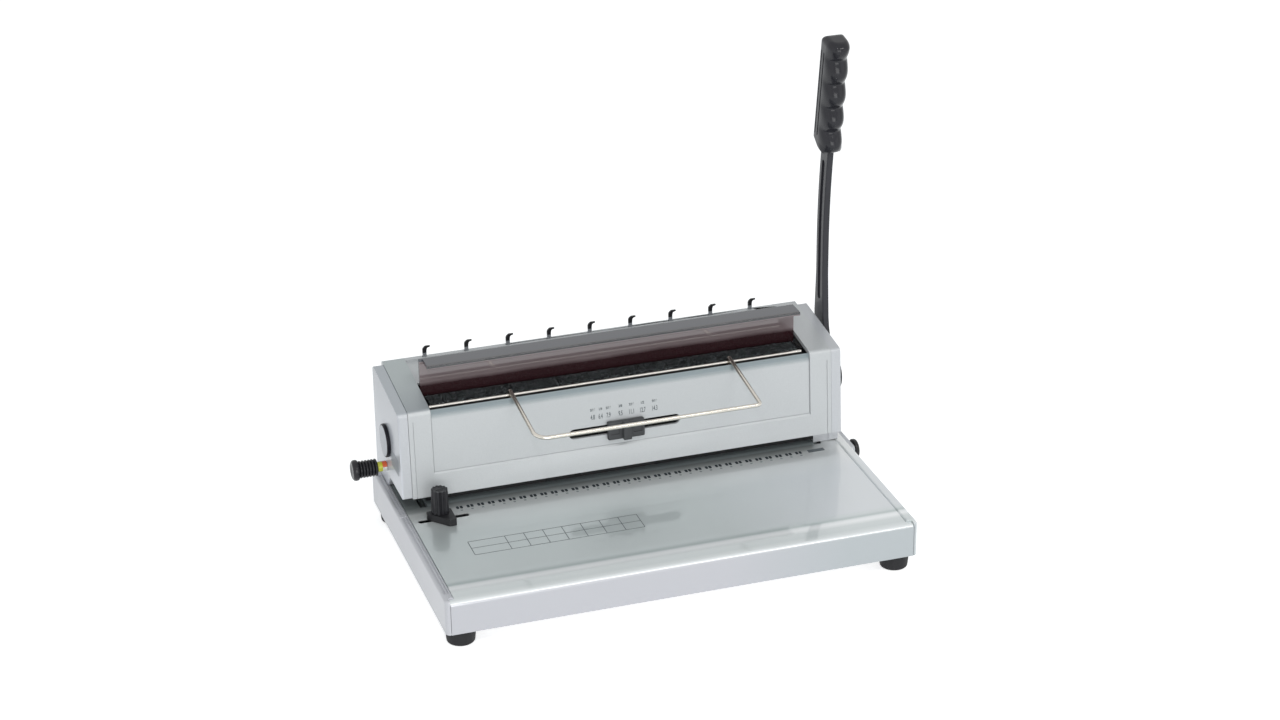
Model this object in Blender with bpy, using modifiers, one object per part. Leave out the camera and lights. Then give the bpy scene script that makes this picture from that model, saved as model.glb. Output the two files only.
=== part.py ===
"""Wire binding machine with a punch, a top closer and a side handle.

X runs along the punching throat, Y runs from the front to the rear and Z is up, in metres.
The machine's own places are counted from the middle of the base (X), the front skirt (Y) and the
table (Z). One root empty then moves the whole machine, so that the origin is the bottom centre of
its box.
"""

import math

import bmesh
import bpy
from mathutils import Matrix, Vector

# Fits
clearance = 0.0003  # between pieces that touch
overrun = 0.003  # how far a cutter passes a face
moulded_wall = 0.0025

# Base
base_width = 0.372
front_shelf = 0.1458  # the plate in front of the tower
foot_height = 0.013
skirt_height = 0.0275
sheet = 0.0015
rail_width = 0.008
rail_nose = 0.0036  # what a side rail shows on the front
rail_nose_depth = 0.006
rail_corner = 0.005
rail_proud = 0.0005
rail_edge = 0.0012
rail_groove_width = 0.001
rail_groove_depth = 0.0006
rail_groove_inset = 0.0022
rail_groove_pitch = 0.0026
front_fall_run = 0.012  # the plate falls gently to its front edge
front_fall = 0.0015
front_bend = 0.0015
pan_recess = 0.001

# Feet
foot_radius = 0.0105
foot_tread_radius = 0.0075
foot_round = 0.002
foot_neck_radius = 0.0045
foot_inset = 0.014
foot_well_radius = 0.0045
foot_well_depth = 0.006
foot_screw_radius = 0.0018
foot_screw_head_radius = 0.0036
foot_screw_head = 0.0022
foot_screw_stand = 0.004

# Tower
tower_depth = 0.0872
base_rear_inset = 0.005  # from the tower's rear to the base's
throat_height = 0.0095
tower_front_wall = 0.0722  # above the throat
tower_rise = 0.009  # from the front wall's top to the rear
tower_lean = 0.0048  # how far the front wall leans back over its height
tower_front_round = 0.004
tower_rear_round = 0.003
cap_step = 0.0055  # from the base's side to the end cap's
tower_wall = 0.0032

# End caps
cap_thickness = 0.0079
cap_inset = 0.0018
cap_front_inset = 0.0006
cap_rear_inset = 0.0065
cap_front_round = 0.003
cap_rear_round = 0.009
cap_edge = 0.0012
throat_depth = 0.039  # how far the open left end of the throat runs back

# Front panel and trough
panel_side = 0.0178  # from the housing's end to the front panel
panel_depth = 0.0012
panel_rise = 0.0285  # above the plate
panel_top_drop = 0.0056
trough_front_rim = 0.0042
trough_depth = 0.0388
deck_depth = 0.0016
rear_rim = 0.0065

# Wire size selector
slot_half = 0.0438
slot_height = 0.007
slot_rise = 0.0425  # above the plate
slider_half = 0.015
slider_height = 0.015
slider_depth = 0.0045
slider_round = 0.0012
slider_ridge_half = 0.0035
slider_ridge_depth = 0.0035
slider_neck_half = 0.008
stop_half = 0.02
stop_height = 0.016
stop_thickness = 0.003
stop_step = 0.0024
stop_steps = 5

# Punch line
hole_pitch = 0.0084667
hole_side = 0.004
punch_setback = 0.0172  # behind the tower's front
hole_offset = 0.0024  # of the middle of the row from the middle of the base
die_thickness = 0.0037
die_setback = 0.0052  # behind the tower's front
die_depth = 0.056
sheet_gap = 0.003
guide_thickness = 0.0055
guide_front = 0.0555  # kept from the rear edge of the die
guide_depth = 0.029
punch_clearance = 0.0002
punch_stroke = 0.0095
punch_rest_depth = 0.005
ram_thickness = 0.008
ram_depth = 0.030
ram_rear_gap = 0.0035  # from the shaft's axis forward
ram_overhang = 0.0038
ram_side_gap = 0.0008  # from the closer's shelves
post_radius = 0.003
post_spread = 0.06
post_setback = 0.013  # behind the punches
post_height = 0.034
spring_wire = 0.0005
spring_radius = 0.0043
spring_turns = 6
spring_pocket_radius = 0.0056
spring_pocket_depth = 0.0055

# Side frames
frame_thickness = 0.003
frame_inset = 0.0093  # from the housing's end to the frame
frame_setback = 0.0092  # behind the tower's front
frame_rear_gap = 0.0038  # from the housing's rear wall
frame_top_gap = 0.0002  # under the bed's top
frame_foot = 0.006
tie_radius = 0.005
tie_setback = 0.024  # behind the shaft
tie_rise = 0.0215  # above the shaft

# Drive shaft
shaft_radius = 0.007
shaft_setback = 0.0442  # behind the tower's front
shaft_rise = 0.042  # above the plate
bush_wall = 0.002
bush_flange = 0.0015
bush_flange_width = 0.0025
handle_travel = math.radians(78)
cam_spare = math.radians(2)
ram_cam_base = 0.012
ram_cam_width = 0.008
ram_cam_inset = 0.046  # from the frames
closer_cam_base = 0.0105
closer_cam_width = 0.005
return_spring_wire = 0.00075
return_spring_turns = 5
return_spring_pitch = 0.0022
return_spring_inset = 0.032  # from the left frame
return_spring_leg = 0.014

# Wire closer
closer_stroke = 0.016
jaw_side_gap = 0.0013  # from the trough's end
jaw_setback = 0.0257  # behind the tower's front
jaw_plate_depth = 0.0175
jaw_thickness = 0.003
jaw_rise = 0.0315  # above the bed
jaw_foot = 0.005  # how far the jaw's wall reaches down behind the bed
slide_thickness = 0.003
slide_bar = 0.006
slide_overlap = 0.006
slide_shelf = 0.0066
bed_setback = 0.0097  # behind the tower's front
bed_shoulder_setback = 0.0157  # behind the bed's front
bed_rear_gap = 0.0005
bed_drop = 0.0052  # under the front wall's top
bed_height = 0.016
pad_setback = 0.0115  # behind the bed's front
pad_well = 0.0035
pad_stand = 0.003
rod_radius = 0.0015
rod_setback = 0.0061  # behind the bed's front
rod_rise = 0.0022  # above the bed

# Wire bail
bail_radius = 0.0015
bail_half = 0.088
bail_reach = 0.071  # in front of the rod
bail_drop = 0.0027  # from the rod to the bail's front bar
bail_corner = 0.008
bail_eye_turn = math.radians(290)
bail_notch_half = 0.0032

# Wire hooks
hook_every = 4  # holes
hook_thickness = 0.0015
hook_half = 0.0016
hook_height = 0.0086
hook_reach = 0.0045
hook_tip = 0.0009
hook_strip_height = 0.022
hook_strip_ends = 0.012

# Handle
arm_gap = 0.001  # from the end cap to the hub
hub_radius = 0.0195
hub_length = 0.0115
arm_inset = 0.0035  # from the hub's inner face to the arm's
arm_thickness = 0.0052
arm_half = 0.0075
arm_root_half = 0.0112  # where it leaves the hub
arm_root_start = 0.027
arm_root_end = 0.080
arm_groove_half = 0.0028
arm_groove_depth = 0.0013
arm_groove_start = 0.055
hub_wall = 0.003
tang_length = 0.045
arm_bow = 0.0202
arm_bow_height = 0.045
arm_bend_start = 0.100
arm_top_height = 0.235
arm_edge = 0.0012
grip_length = 0.0968
grip_half = 0.0093
grip_back = 0.0110
grip_front = 0.0095
grip_lean = math.radians(9.5)
grip_bump = 0.0060
grip_bump_fade = 0.6  # share of the bump lost from the foot to the crown
grip_lobes = 5
grip_edge = 0.0032
grip_heel = 0.0065
grip_crown = 0.009
hub_screw_radius = 0.0025
hub_screw_head_radius = 0.006
hub_screw_head = 0.0028
hub_screw_depth = 0.008

# Left shaft plug
plug_radius = 0.0132
plug_dome = 0.0042
plug_shares = ((0, 1), (0.5, 0.93), (0.8, 0.7), (0.95, 0.38), (1, 0))  # of its radius and dome
plug_stem = 0.002

# Edge guide
guide_slot_inset = 0.0126  # from the base's side
guide_slot_length = 0.0402
guide_slot_ahead = 0.0178  # in front of the tower
guide_slot_half = 0.0016
guide_block_inset = 0.0054  # from the slot's left end
guide_block_width = 0.0245
guide_block_front = 0.0195  # from the slot
guide_block_back = 0.007
guide_block_height = 0.0058
guide_block_cut = 0.011
guide_block_edge = 0.0008
guide_knob_radius = 0.0072
guide_knob_height = 0.0187
guide_knob_flutes = 12
guide_knob_flute = 0.0011
guide_knob_edge = 0.0008
guide_stud_radius = 0.0013
clamp_half = 0.007
clamp_thickness = 0.0025

# Margin depth control
depth_setback = 0.005  # behind the shaft
depth_drop = 0.0245  # below the shaft
depth_rod_radius = 0.003
depth_rod_end_gap = 0.01  # from the right frame
depth_dial_radius = 0.0058
depth_dial_length = 0.0058
depth_knob_radius = 0.0073
depth_knob_length = 0.0162
depth_knob_flange_radius = 0.0092
depth_knob_flange = 0.0055
depth_knob_ribs = 5
depth_knob_rib = 0.0006
depth_cam_base = 0.0042
depth_cam_width = 0.006
depth_cam_place = 0.09
depth_gauge_side_gap = 0.0011  # from the closer's shelves
depth_gauge_thickness = 0.0024
depth_margin = 0.005  # from the punches to the gauge
depth_gauge_tab = 0.0015
depth_gauge_tab_half = 0.008
depth_gauge_tab_rise = 0.0045  # above the depth rod's axis
depth_travel = 0.002
depth_turn = math.radians(90)

# Chip drawer
drawer_end_gap = 0.01  # from the left frame
drawer_setback = 0.0007  # behind the tower's front
drawer_depth = 0.039
drawer_wall = 0.0018
drawer_floor_gap = 0.001  # from the pan
drawer_roof_gap = 0.002  # under the die plate, clear of the punches
drawer_panel = 0.0035
drawer_panel_overlap = 0.008  # in front of the drawer
drawer_panel_depth = 0.054
drawer_panel_drop = 0.0015
drawer_panel_edge = 0.0015
drawer_knob_radius = 0.0098
drawer_knob_length = 0.0125
drawer_knob_neck = 0.005
drawer_knob_setback = 0.0145  # behind the panel's front edge
drawer_knob_rise = 0.0165  # above the base's bottom edge

# Worked out from the sizes above
half_width = base_width / 2
cap_outer = half_width - cap_step
tower_half = cap_outer - cap_thickness - clearance
frame_inner = tower_half - frame_inset - frame_thickness
panel_half = tower_half - panel_side
jaw_half = panel_half - jaw_side_gap
tower_front = front_shelf
tower_rear = tower_front + tower_depth
base_depth = tower_rear - base_rear_inset
hole_line = tower_front + punch_setback
die_front = tower_front + die_setback
post_line = hole_line + post_setback
frame_front = tower_front + frame_setback
shaft_line = tower_front + shaft_setback
tie_line = shaft_line + tie_setback
jaw_front = tower_front + jaw_setback
bed_front = tower_front + bed_setback
bed_shoulder = bed_front + bed_shoulder_setback
pad_front = bed_front + pad_setback
rod_line = bed_front + rod_setback
bail_front = rod_line - bail_reach
guide_slot_line = tower_front - guide_slot_ahead
guide_slot_left = -half_width + guide_slot_inset
guide_block_left = guide_slot_left + guide_block_inset
depth_line = shaft_line + depth_setback
depth_gauge_front = hole_line + depth_margin
drawer_front = tower_front + drawer_setback
drawer_panel_front = drawer_front - drawer_panel_overlap
drawer_knob_line = drawer_panel_front + drawer_knob_setback
plate_top = foot_height + skirt_height
throat_roof = plate_top + throat_height
tower_front_height = throat_roof + tower_front_wall
tower_rear_height = tower_front_height + tower_rise
shaft_level = plate_top + shaft_rise
tie_level = shaft_level + tie_rise
slot_level = plate_top + slot_rise
panel_bottom = plate_top + panel_rise
bed_top = tower_front_height - bed_drop
frame_top = bed_top - frame_top_gap
jaw_top = bed_top + jaw_rise
jaw_bottom = bed_top - jaw_foot
rod_level = bed_top + rod_rise
bail_front_level = rod_level - bail_drop
depth_level = shaft_level - depth_drop
depth_gauge_tab_top = depth_level + depth_gauge_tab_rise
drawer_knob_level = foot_height + drawer_knob_rise
plate_under = plate_top - sheet
rail_inner = half_width - rail_width
rail_top = plate_top + rail_proud
pan_bottom = foot_height + pan_recess
pan_top = pan_bottom + sheet
cap_bottom = rail_top + clearance
die_top = plate_top - clearance
die_bottom = die_top - die_thickness
drawer_bottom = pan_top + drawer_floor_gap
drawer_top = die_bottom - drawer_roof_gap
drawer_left = -frame_inner + drawer_end_gap
guide_bottom = plate_top + sheet_gap
guide_top = guide_bottom + guide_thickness
ram_rest = shaft_level - ram_cam_base - clearance - ram_thickness
ram_lift = punch_stroke / handle_travel
closer_lift = closer_stroke / handle_travel
punch_bottom = guide_top - punch_rest_depth
frame_outer = frame_inner + frame_thickness
trough_front = tower_front + trough_front_rim + tower_lean
trough_rear = trough_front + trough_depth
jaw_rear = jaw_front + jaw_plate_depth
slide_inner = jaw_half + clearance
punch_room = slide_inner - slide_shelf - ram_side_gap - ram_overhang - hole_offset
hole_count = int(2 * punch_room / hole_pitch) + 1
depth_gauge_half = slide_inner - slide_shelf - depth_gauge_side_gap
depth_rod_right = frame_inner - depth_rod_end_gap
return_spring_place = frame_inner - return_spring_inset
ram_cam_place = frame_inner - ram_cam_inset
rear_inner = tower_rear - tower_wall
frame_depth = rear_inner - frame_rear_gap - frame_front
strip_rear = rear_inner - clearance
hub_inner = cap_outer + arm_gap
hub_outer = hub_inner + hub_length
arm_inner = hub_inner + arm_inset
arm_middle = arm_inner + arm_thickness / 2
knob_inner = cap_outer + clearance + depth_dial_length + clearance
left_reach = knob_inner + depth_knob_length + depth_knob_flange
drawer_panel_inner = half_width + clearance
drawer_knob_inner = drawer_panel_inner + drawer_panel + clearance
right_reach = drawer_knob_inner + drawer_knob_length
origin_x = (left_reach - right_reach) / 2
origin_y = -tower_rear / 2
slot_half_height = slot_height / 2

silver = (0.60, 0.61, 0.63)
silver_plate = (0.50, 0.51, 0.51)
black = (0.012, 0.012, 0.014)
dark_grey = (0.07, 0.07, 0.075)
smoked = (0.035, 0.016, 0.018)
steel_colour = (0.55, 0.55, 0.56)
rod_colour = (0.62, 0.60, 0.56)
bronze = (0.50, 0.33, 0.15)
dial_colour = (0.55, 0.50, 0.06)
rubber = (0.010, 0.010, 0.011)

# Finish: colour, roughness and metallic value of each kind of piece
finishes = {
    "painted": (silver, 0.38, 0.0),
    "gloss_plate": (silver_plate, 0.12, 0.0),
    "black_plastic": (black, 0.35, 0.0),
    "gloss_black": (black, 0.12, 0.0),
    "cast_black": (black, 0.45, 0.3),
    "grip_plastic": (dark_grey, 0.30, 0.0),
    "smoked": (smoked, 0.08, 0.0),
    "steel": (steel_colour, 0.30, 1.0),
    "rod_steel": (rod_colour, 0.20, 1.0),
    "bronze": (bronze, 0.35, 1.0),
    "foam": (black, 0.95, 0.0),
    "rubber": (rubber, 0.75, 0.0),
    "dial": (dial_colour, 0.40, 0.0),
}

to_side = Matrix(((0, 0, 1, 0), (1, 0, 0, 0), (0, 1, 0, 0), (0, 0, 0, 1)))
to_front = Matrix(((1, 0, 0, 0), (0, 0, -1, 0), (0, 1, 0, 0), (0, 0, 0, 1)))
to_left = Matrix(((0, 0, -1, 0), (0, 1, 0, 0), (1, 0, 0, 0), (0, 0, 0, 1)))
to_right = Matrix(((0, 0, 1, 0), (0, 1, 0, 0), (-1, 0, 0, 0), (0, 0, 0, 1)))


def clear_scene():
    for item in list(bpy.data.objects):
        bpy.data.objects.remove(item, do_unlink=True)


clear_scene()
parts = bpy.data.collections.new("wire_binding_machine")
cutters = bpy.data.collections.new("cutters")
bpy.context.scene.collection.children.link(parts)
bpy.context.scene.collection.children.link(cutters)


def add_empty(name, place, parent=None):
    """An empty that carries the pieces of one body, on the axis of its joint."""
    empty = bpy.data.objects.new(name, None)
    parts.objects.link(empty)
    empty.location = place
    empty.parent = parent
    return empty


root = add_empty("machine_root", (origin_x, origin_y, 0))


def finish_material(name, finish):
    colour, roughness, metallic = finishes[finish]
    material = bpy.data.materials.new(name)
    material.use_nodes = True
    shader = material.node_tree.nodes["Principled BSDF"]
    shader.inputs["Base Color"].default_value = (*colour, 1)
    shader.inputs["Roughness"].default_value = roughness
    shader.inputs["Metallic"].default_value = metallic
    return material


def settle(item, finish, body=None):
    """Give a piece its material and hang it on its body's empty, where it stands."""
    if finish:
        item.data.materials.clear()
        item.data.materials.append(finish_material(item.name, finish))
    parent = body or root
    item.parent = parent
    if body:
        item.matrix_parent_inverse = Matrix.Translation(-body.location)
    return item


def cutter_settle(item):
    item.hide_render = True
    item.display_type = "WIRE"
    item.parent = root
    return item


def link_mesh(name, mesh, hidden=False):
    item = bpy.data.objects.new(name, mesh)
    (cutters if hidden else parts).objects.link(item)
    return item


def boxes(name, spans, hidden=False):
    """One mesh of separate boxes, each given by its low and high corners."""
    shape = bmesh.new()
    for low, high in spans:
        size = [b - a for a, b in zip(low, high)]
        middle = [(a + b) / 2 for a, b in zip(low, high)]
        place = Matrix.Translation(middle) @ Matrix.Diagonal((*size, 1))
        bmesh.ops.create_cube(shape, size=1, matrix=place)
    mesh = bpy.data.meshes.new(name)
    shape.to_mesh(mesh)
    shape.free()
    return link_mesh(name, mesh, hidden)


def rods(name, spans, radius, axis, steps=16, hidden=False):
    """One mesh of separate cylinders along an axis, each from a point over a length."""
    turn = {"x": Matrix.Rotation(math.pi / 2, 4, "Y"), "z": Matrix.Identity(4)}[axis]
    along = {"x": Vector((1, 0, 0)), "z": Vector((0, 0, 1))}[axis]
    shape = bmesh.new()
    for start, length in spans:
        middle = Vector(start) + along * (length / 2)
        bmesh.ops.create_cone(
            shape, cap_ends=True, segments=steps, radius1=radius, radius2=radius,
            depth=length, matrix=Matrix.Translation(middle) @ turn,
        )
    mesh = bpy.data.meshes.new(name)
    shape.to_mesh(mesh)
    shape.free()
    item = link_mesh(name, mesh, hidden)
    smooth(item)
    return item


def smooth(item, angle=math.radians(35)):
    item.data.shade_smooth()
    item.data.set_sharp_from_angle(angle=angle)


def curve_to_mesh(name, curve, matrix, hidden):
    """A curve's evaluated shape as a closed mesh object."""
    item = bpy.data.objects.new(name + "_curve", curve)
    bpy.context.scene.collection.objects.link(item)
    bpy.context.view_layer.update()
    graph = bpy.context.evaluated_depsgraph_get()
    mesh = bpy.data.meshes.new_from_object(item.evaluated_get(graph))
    bpy.data.objects.remove(item, do_unlink=True)
    shape = bmesh.new()
    shape.from_mesh(mesh)
    bmesh.ops.remove_doubles(shape, verts=shape.verts, dist=weld)
    if curve.dimensions == "2D":
        bmesh.ops.dissolve_limit(
            shape, angle_limit=flat_angle, verts=shape.verts, edges=shape.edges
        )
    shape.transform(matrix)
    bmesh.ops.recalc_face_normals(shape, faces=shape.faces)
    if shape.calc_volume(signed=True) < 0:
        bmesh.ops.reverse_faces(shape, faces=shape.faces)
    shape.to_mesh(mesh)
    shape.free()
    return link_mesh(name, mesh, hidden)


weld = 0.000002
flat_angle = math.radians(0.05)


def plate(name, outline, low, high, facing=to_side, hidden=False):
    """A flat outline made into a plate between two places along its normal."""
    curve = bpy.data.curves.new(name, "CURVE")
    curve.dimensions = "2D"
    curve.fill_mode = "BOTH"
    curve.extrude = (high - low) / 2
    line = curve.splines.new("POLY")
    line.points.add(len(outline) - 1)
    for point, (u, v) in zip(line.points, outline):
        point.co = (u, v, 0, 1)
    line.use_cyclic_u = True
    lift = Matrix.Translation((0, 0, (low + high) / 2))
    return curve_to_mesh(name, curve, facing @ lift, hidden)


def tube(name, points, radius, sides=1):
    """A round bar that follows points."""
    curve = bpy.data.curves.new(name, "CURVE")
    curve.dimensions = "3D"
    curve.bevel_depth = radius
    curve.bevel_resolution = sides
    curve.use_fill_caps = True
    line = curve.splines.new("POLY")
    line.points.add(len(points) - 1)
    for point, place in zip(line.points, points):
        point.co = (*place, 1)
    item = curve_to_mesh(name, curve, Matrix.Identity(4), False)
    smooth(item)
    return item


def turned(name, profile, place, facing=None, steps=20, hidden=False):
    """A profile of (radius, height) pairs, top to bottom, turned about Z and then faced."""
    mesh = bpy.data.meshes.new(name)
    edges = [(i, i + 1) for i in range(len(profile) - 1)]
    mesh.from_pydata([(radius, 0, height) for radius, height in profile], edges, [])
    item = link_mesh(name, mesh, hidden)
    screw = item.modifiers.new("turn", "SCREW")
    screw.steps = steps
    screw.render_steps = steps
    screw.use_merge_vertices = True
    screw.merge_threshold = 0.000001
    item.matrix_world = Matrix.Translation(place) @ (facing or Matrix.Identity(4))
    return item


def cut(item, cutter, name="cut"):
    modifier = item.modifiers.new(name, "BOOLEAN")
    modifier.operation = "DIFFERENCE"
    modifier.solver = "EXACT"
    modifier.object = cutter_settle(cutter)
    return item


def join(item, other, name="join"):
    modifier = item.modifiers.new(name, "BOOLEAN")
    modifier.operation = "UNION"
    modifier.solver = "EXACT"
    modifier.object = cutter_settle(other)
    return item


def soften(item, width, segments=2, angle=math.radians(40)):
    bevel = item.modifiers.new("soften", "BEVEL")
    bevel.width = width
    bevel.segments = segments
    bevel.limit_method = "ANGLE"
    bevel.angle_limit = angle
    return item


def arc(centre, radius, start, end, steps):
    """Points of an arc in the plane of an outline, angles in degrees."""
    found = []
    for i in range(steps + 1):
        angle = math.radians(start + (end - start) * i / steps)
        found.append((centre[0] + radius * math.cos(angle), centre[1] + radius * math.sin(angle)))
    return found


def rounded(corners, steps=4):
    """An outline from corners of (u, v, radius), each rounded by its radius."""
    outline = []
    count = len(corners)
    for i, (u, v, radius) in enumerate(corners):
        here = Vector((u, v))
        before = (Vector(corners[i - 1][:2]) - here).normalized()
        after = (Vector(corners[(i + 1) % count][:2]) - here).normalized()
        if radius == 0:
            outline.append((u, v))
            continue
        half = before.angle(after) / 2
        middle = here + (before + after).normalized() * (radius / math.sin(half))
        first = here + before * (radius / math.tan(half)) - middle
        turn = first.angle_signed(here + after * (radius / math.tan(half)) - middle)
        for k in range(steps + 1):
            spin = Matrix.Rotation(-turn * k / steps, 2)
            outline.append(tuple(middle + spin @ first))
    return outline


def face_line(level):
    """Y of the tower's front face at a height."""
    share = (level - throat_roof) / (tower_front_height - throat_roof)
    return tower_front + tower_lean * share


def top_level(line):
    """Height of the tower's top at a Y."""
    front = tower_front + tower_lean
    share = (line - front) / (tower_rear - front)
    return tower_front_height + (tower_rear_height - tower_front_height) * share


def base_pieces():
    front_low = plate_top - front_fall
    outline = [
        (0, foot_height),
        (0, front_low - front_bend),
        (front_bend, front_low),
        (front_fall_run, plate_top),
        (base_depth, plate_top),
        (base_depth, foot_height),
        (base_depth - sheet, foot_height),
        (base_depth - sheet, plate_under),
        (front_fall_run, plate_under),
        (front_bend + sheet, front_low - sheet),
        (sheet, front_low - front_bend - sheet),
        (sheet, foot_height),
    ]
    nose = half_width - rail_nose - clearance
    cover = plate("base_cover", outline, -nose, nose)
    side_cuts = []
    plate_half = rail_inner - clearance
    for side in (-1, 1):
        ends = sorted((side * plate_half, side * (nose + overrun)))
        side_cuts.append((
            (ends[0], rail_nose_depth, foot_height - overrun),
            (ends[1], base_depth + overrun, plate_top + overrun),
        ))
    cut(cover, boxes("base_cover_sides", side_cuts, True), "sides")
    opening_half = frame_outer + clearance * 10
    opening = [(
        (-opening_half, die_front - clearance, plate_under - overrun),
        (opening_half, frame_front + frame_depth + clearance, plate_top + overrun),
    )]
    cut(cover, boxes("base_cover_opening", opening, True), "opening")
    slot = rounded([
        (guide_slot_left, guide_slot_line - guide_slot_half, guide_slot_half / 2),
        (guide_slot_left + guide_slot_length, guide_slot_line - guide_slot_half, guide_slot_half / 2),
        (guide_slot_left + guide_slot_length, guide_slot_line + guide_slot_half, guide_slot_half / 2),
        (guide_slot_left, guide_slot_line + guide_slot_half, guide_slot_half / 2),
    ], 2)
    slot_cutter = plate(
        "base_cover_slot", slot, plate_under - overrun, plate_top + overrun, Matrix.Identity(4), True
    )
    cut(cover, slot_cutter, "slot")
    settle(cover, "gloss_plate")

    inside = half_width - moulded_wall - clearance
    pan = boxes("base_pan", [(
        (-inside, sheet + clearance, pan_bottom),
        (inside, base_depth - sheet - clearance, pan_top),
    )])
    front_end = rail_nose_depth + moulded_wall + clearance * 2
    rear_start = base_depth - moulded_wall - clearance
    corner_cuts = []
    for side in (-1, 1):
        ends = sorted((side * (rail_inner - clearance), side * half_width))
        for start, end in ((0, front_end), (rear_start, base_depth)):
            corner_cuts.append(((ends[0], start, foot_height), (ends[1], end, plate_top)))
    cut(pan, boxes("base_pan_corners", corner_cuts, True), "corners")
    settle(pan, "steel")
    for side, name in ((-1, "left_side_rail"), (1, "right_side_rail")):
        side_rail(name, side)
    feet(pan)


def side_rail(name, side):
    """A side moulding that wraps round the front and rear corners of the base."""
    corners = [
        (rail_inner, rail_nose_depth + clearance, 0),
        (half_width - rail_nose, rail_nose_depth + clearance, 0),
        (half_width - rail_nose, 0, 0),
        (half_width, 0, rail_corner * 0.7),
        (half_width, base_depth, rail_corner),
        (rail_inner, base_depth, 0),
    ]
    outline = rounded(corners)
    if side < 0:
        outline = [(-u, v) for u, v in reversed(outline)]
    rail = plate(name, outline, foot_height, rail_top, Matrix.Identity(4))
    soften(rail, rail_edge, 2, math.radians(60))
    wall = half_width - moulded_wall
    ends = sorted((side * (rail_inner - overrun), side * wall))
    hollow = [(
        (ends[0], rail_nose_depth + clearance + moulded_wall, foot_height - overrun),
        (ends[1], base_depth - moulded_wall, rail_top - moulded_wall),
    )]
    cut(rail, boxes(name + "_hollow", hollow, True), "hollow")
    grooves = []
    for i in range(2):
        inner = half_width - rail_groove_inset - rail_groove_pitch * i
        ends = sorted((side * inner, side * (inner - rail_groove_width)))
        grooves.append((
            (ends[0], rail_nose_depth + rail_corner, rail_top - rail_groove_depth),
            (ends[1], base_depth - rail_corner, rail_top + overrun),
        ))
    cut(rail, boxes(name + "_grooves", grooves, True), "grooves")
    if side > 0:
        window = [(
            (rail_inner - overrun, drawer_front - clearance, drawer_bottom - clearance),
            (half_width + overrun, drawer_front + drawer_depth + clearance, drawer_top + clearance),
        )]
        cut(rail, boxes("right_side_rail_window", window, True), "window")
    settle(rail, "painted")


def feet(pan):
    top = pan_bottom - clearance
    profile = [
        (0, top),
        (foot_neck_radius, top),
        (foot_neck_radius, foot_height - clearance),
        (foot_radius, foot_height - clearance),
        (foot_tread_radius + foot_round, foot_round * 2),
        (foot_tread_radius + foot_round / 2, foot_round / 2),
        (foot_tread_radius, 0),
        (foot_well_radius, 0),
        (foot_well_radius, foot_well_depth),
        (0, foot_well_depth),
    ]
    head = [
        (0, foot_well_depth - clearance),
        (foot_screw_head_radius, foot_well_depth - clearance),
        (foot_screw_head_radius, foot_well_depth - foot_screw_head),
        (0, foot_well_depth - foot_screw_head),
    ]
    shank_top = pan_top + foot_screw_stand
    screw_profile = [(0, shank_top), (foot_screw_radius, shank_top)]
    screw_profile += [(foot_screw_radius, foot_well_depth - clearance)] + head[1:]
    holes = []
    for x, side in ((-1, "left"), (1, "right")):
        for y, end in ((foot_inset, "front"), (base_depth - foot_inset, "rear")):
            place = (x * (half_width - foot_inset), y, 0)
            foot = turned(f"foot_{end}_{side}", profile, place)
            bore = rods(
                foot.name + "_bore", [(place, plate_top)], foot_screw_radius + clearance, "z", 12, True
            )
            cut(foot, bore, "bore")
            settle(foot, "rubber")
            settle(turned(f"foot_screw_{end}_{side}", screw_profile, place, steps=12), "steel")
            holes.append(((place[0], place[1], foot_height), plate_top - foot_height))
    bores = rods("base_pan_bores", holes, foot_screw_radius + clearance, "z", 12, True)
    cut(pan, bores, "bores")


def tower_outline(front_inset, top_inset, rear_inset, front_round, rear_round):
    """Corners of the tower's side view, from the bottom front round the top to the bottom rear."""
    front = tower_front + front_inset
    rear = tower_rear - rear_inset
    return [
        (front, throat_roof, 0),
        (front + tower_lean, top_level(tower_front + tower_lean) - top_inset, front_round),
        (rear, top_level(rear) - top_inset, rear_round),
    ]


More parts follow.
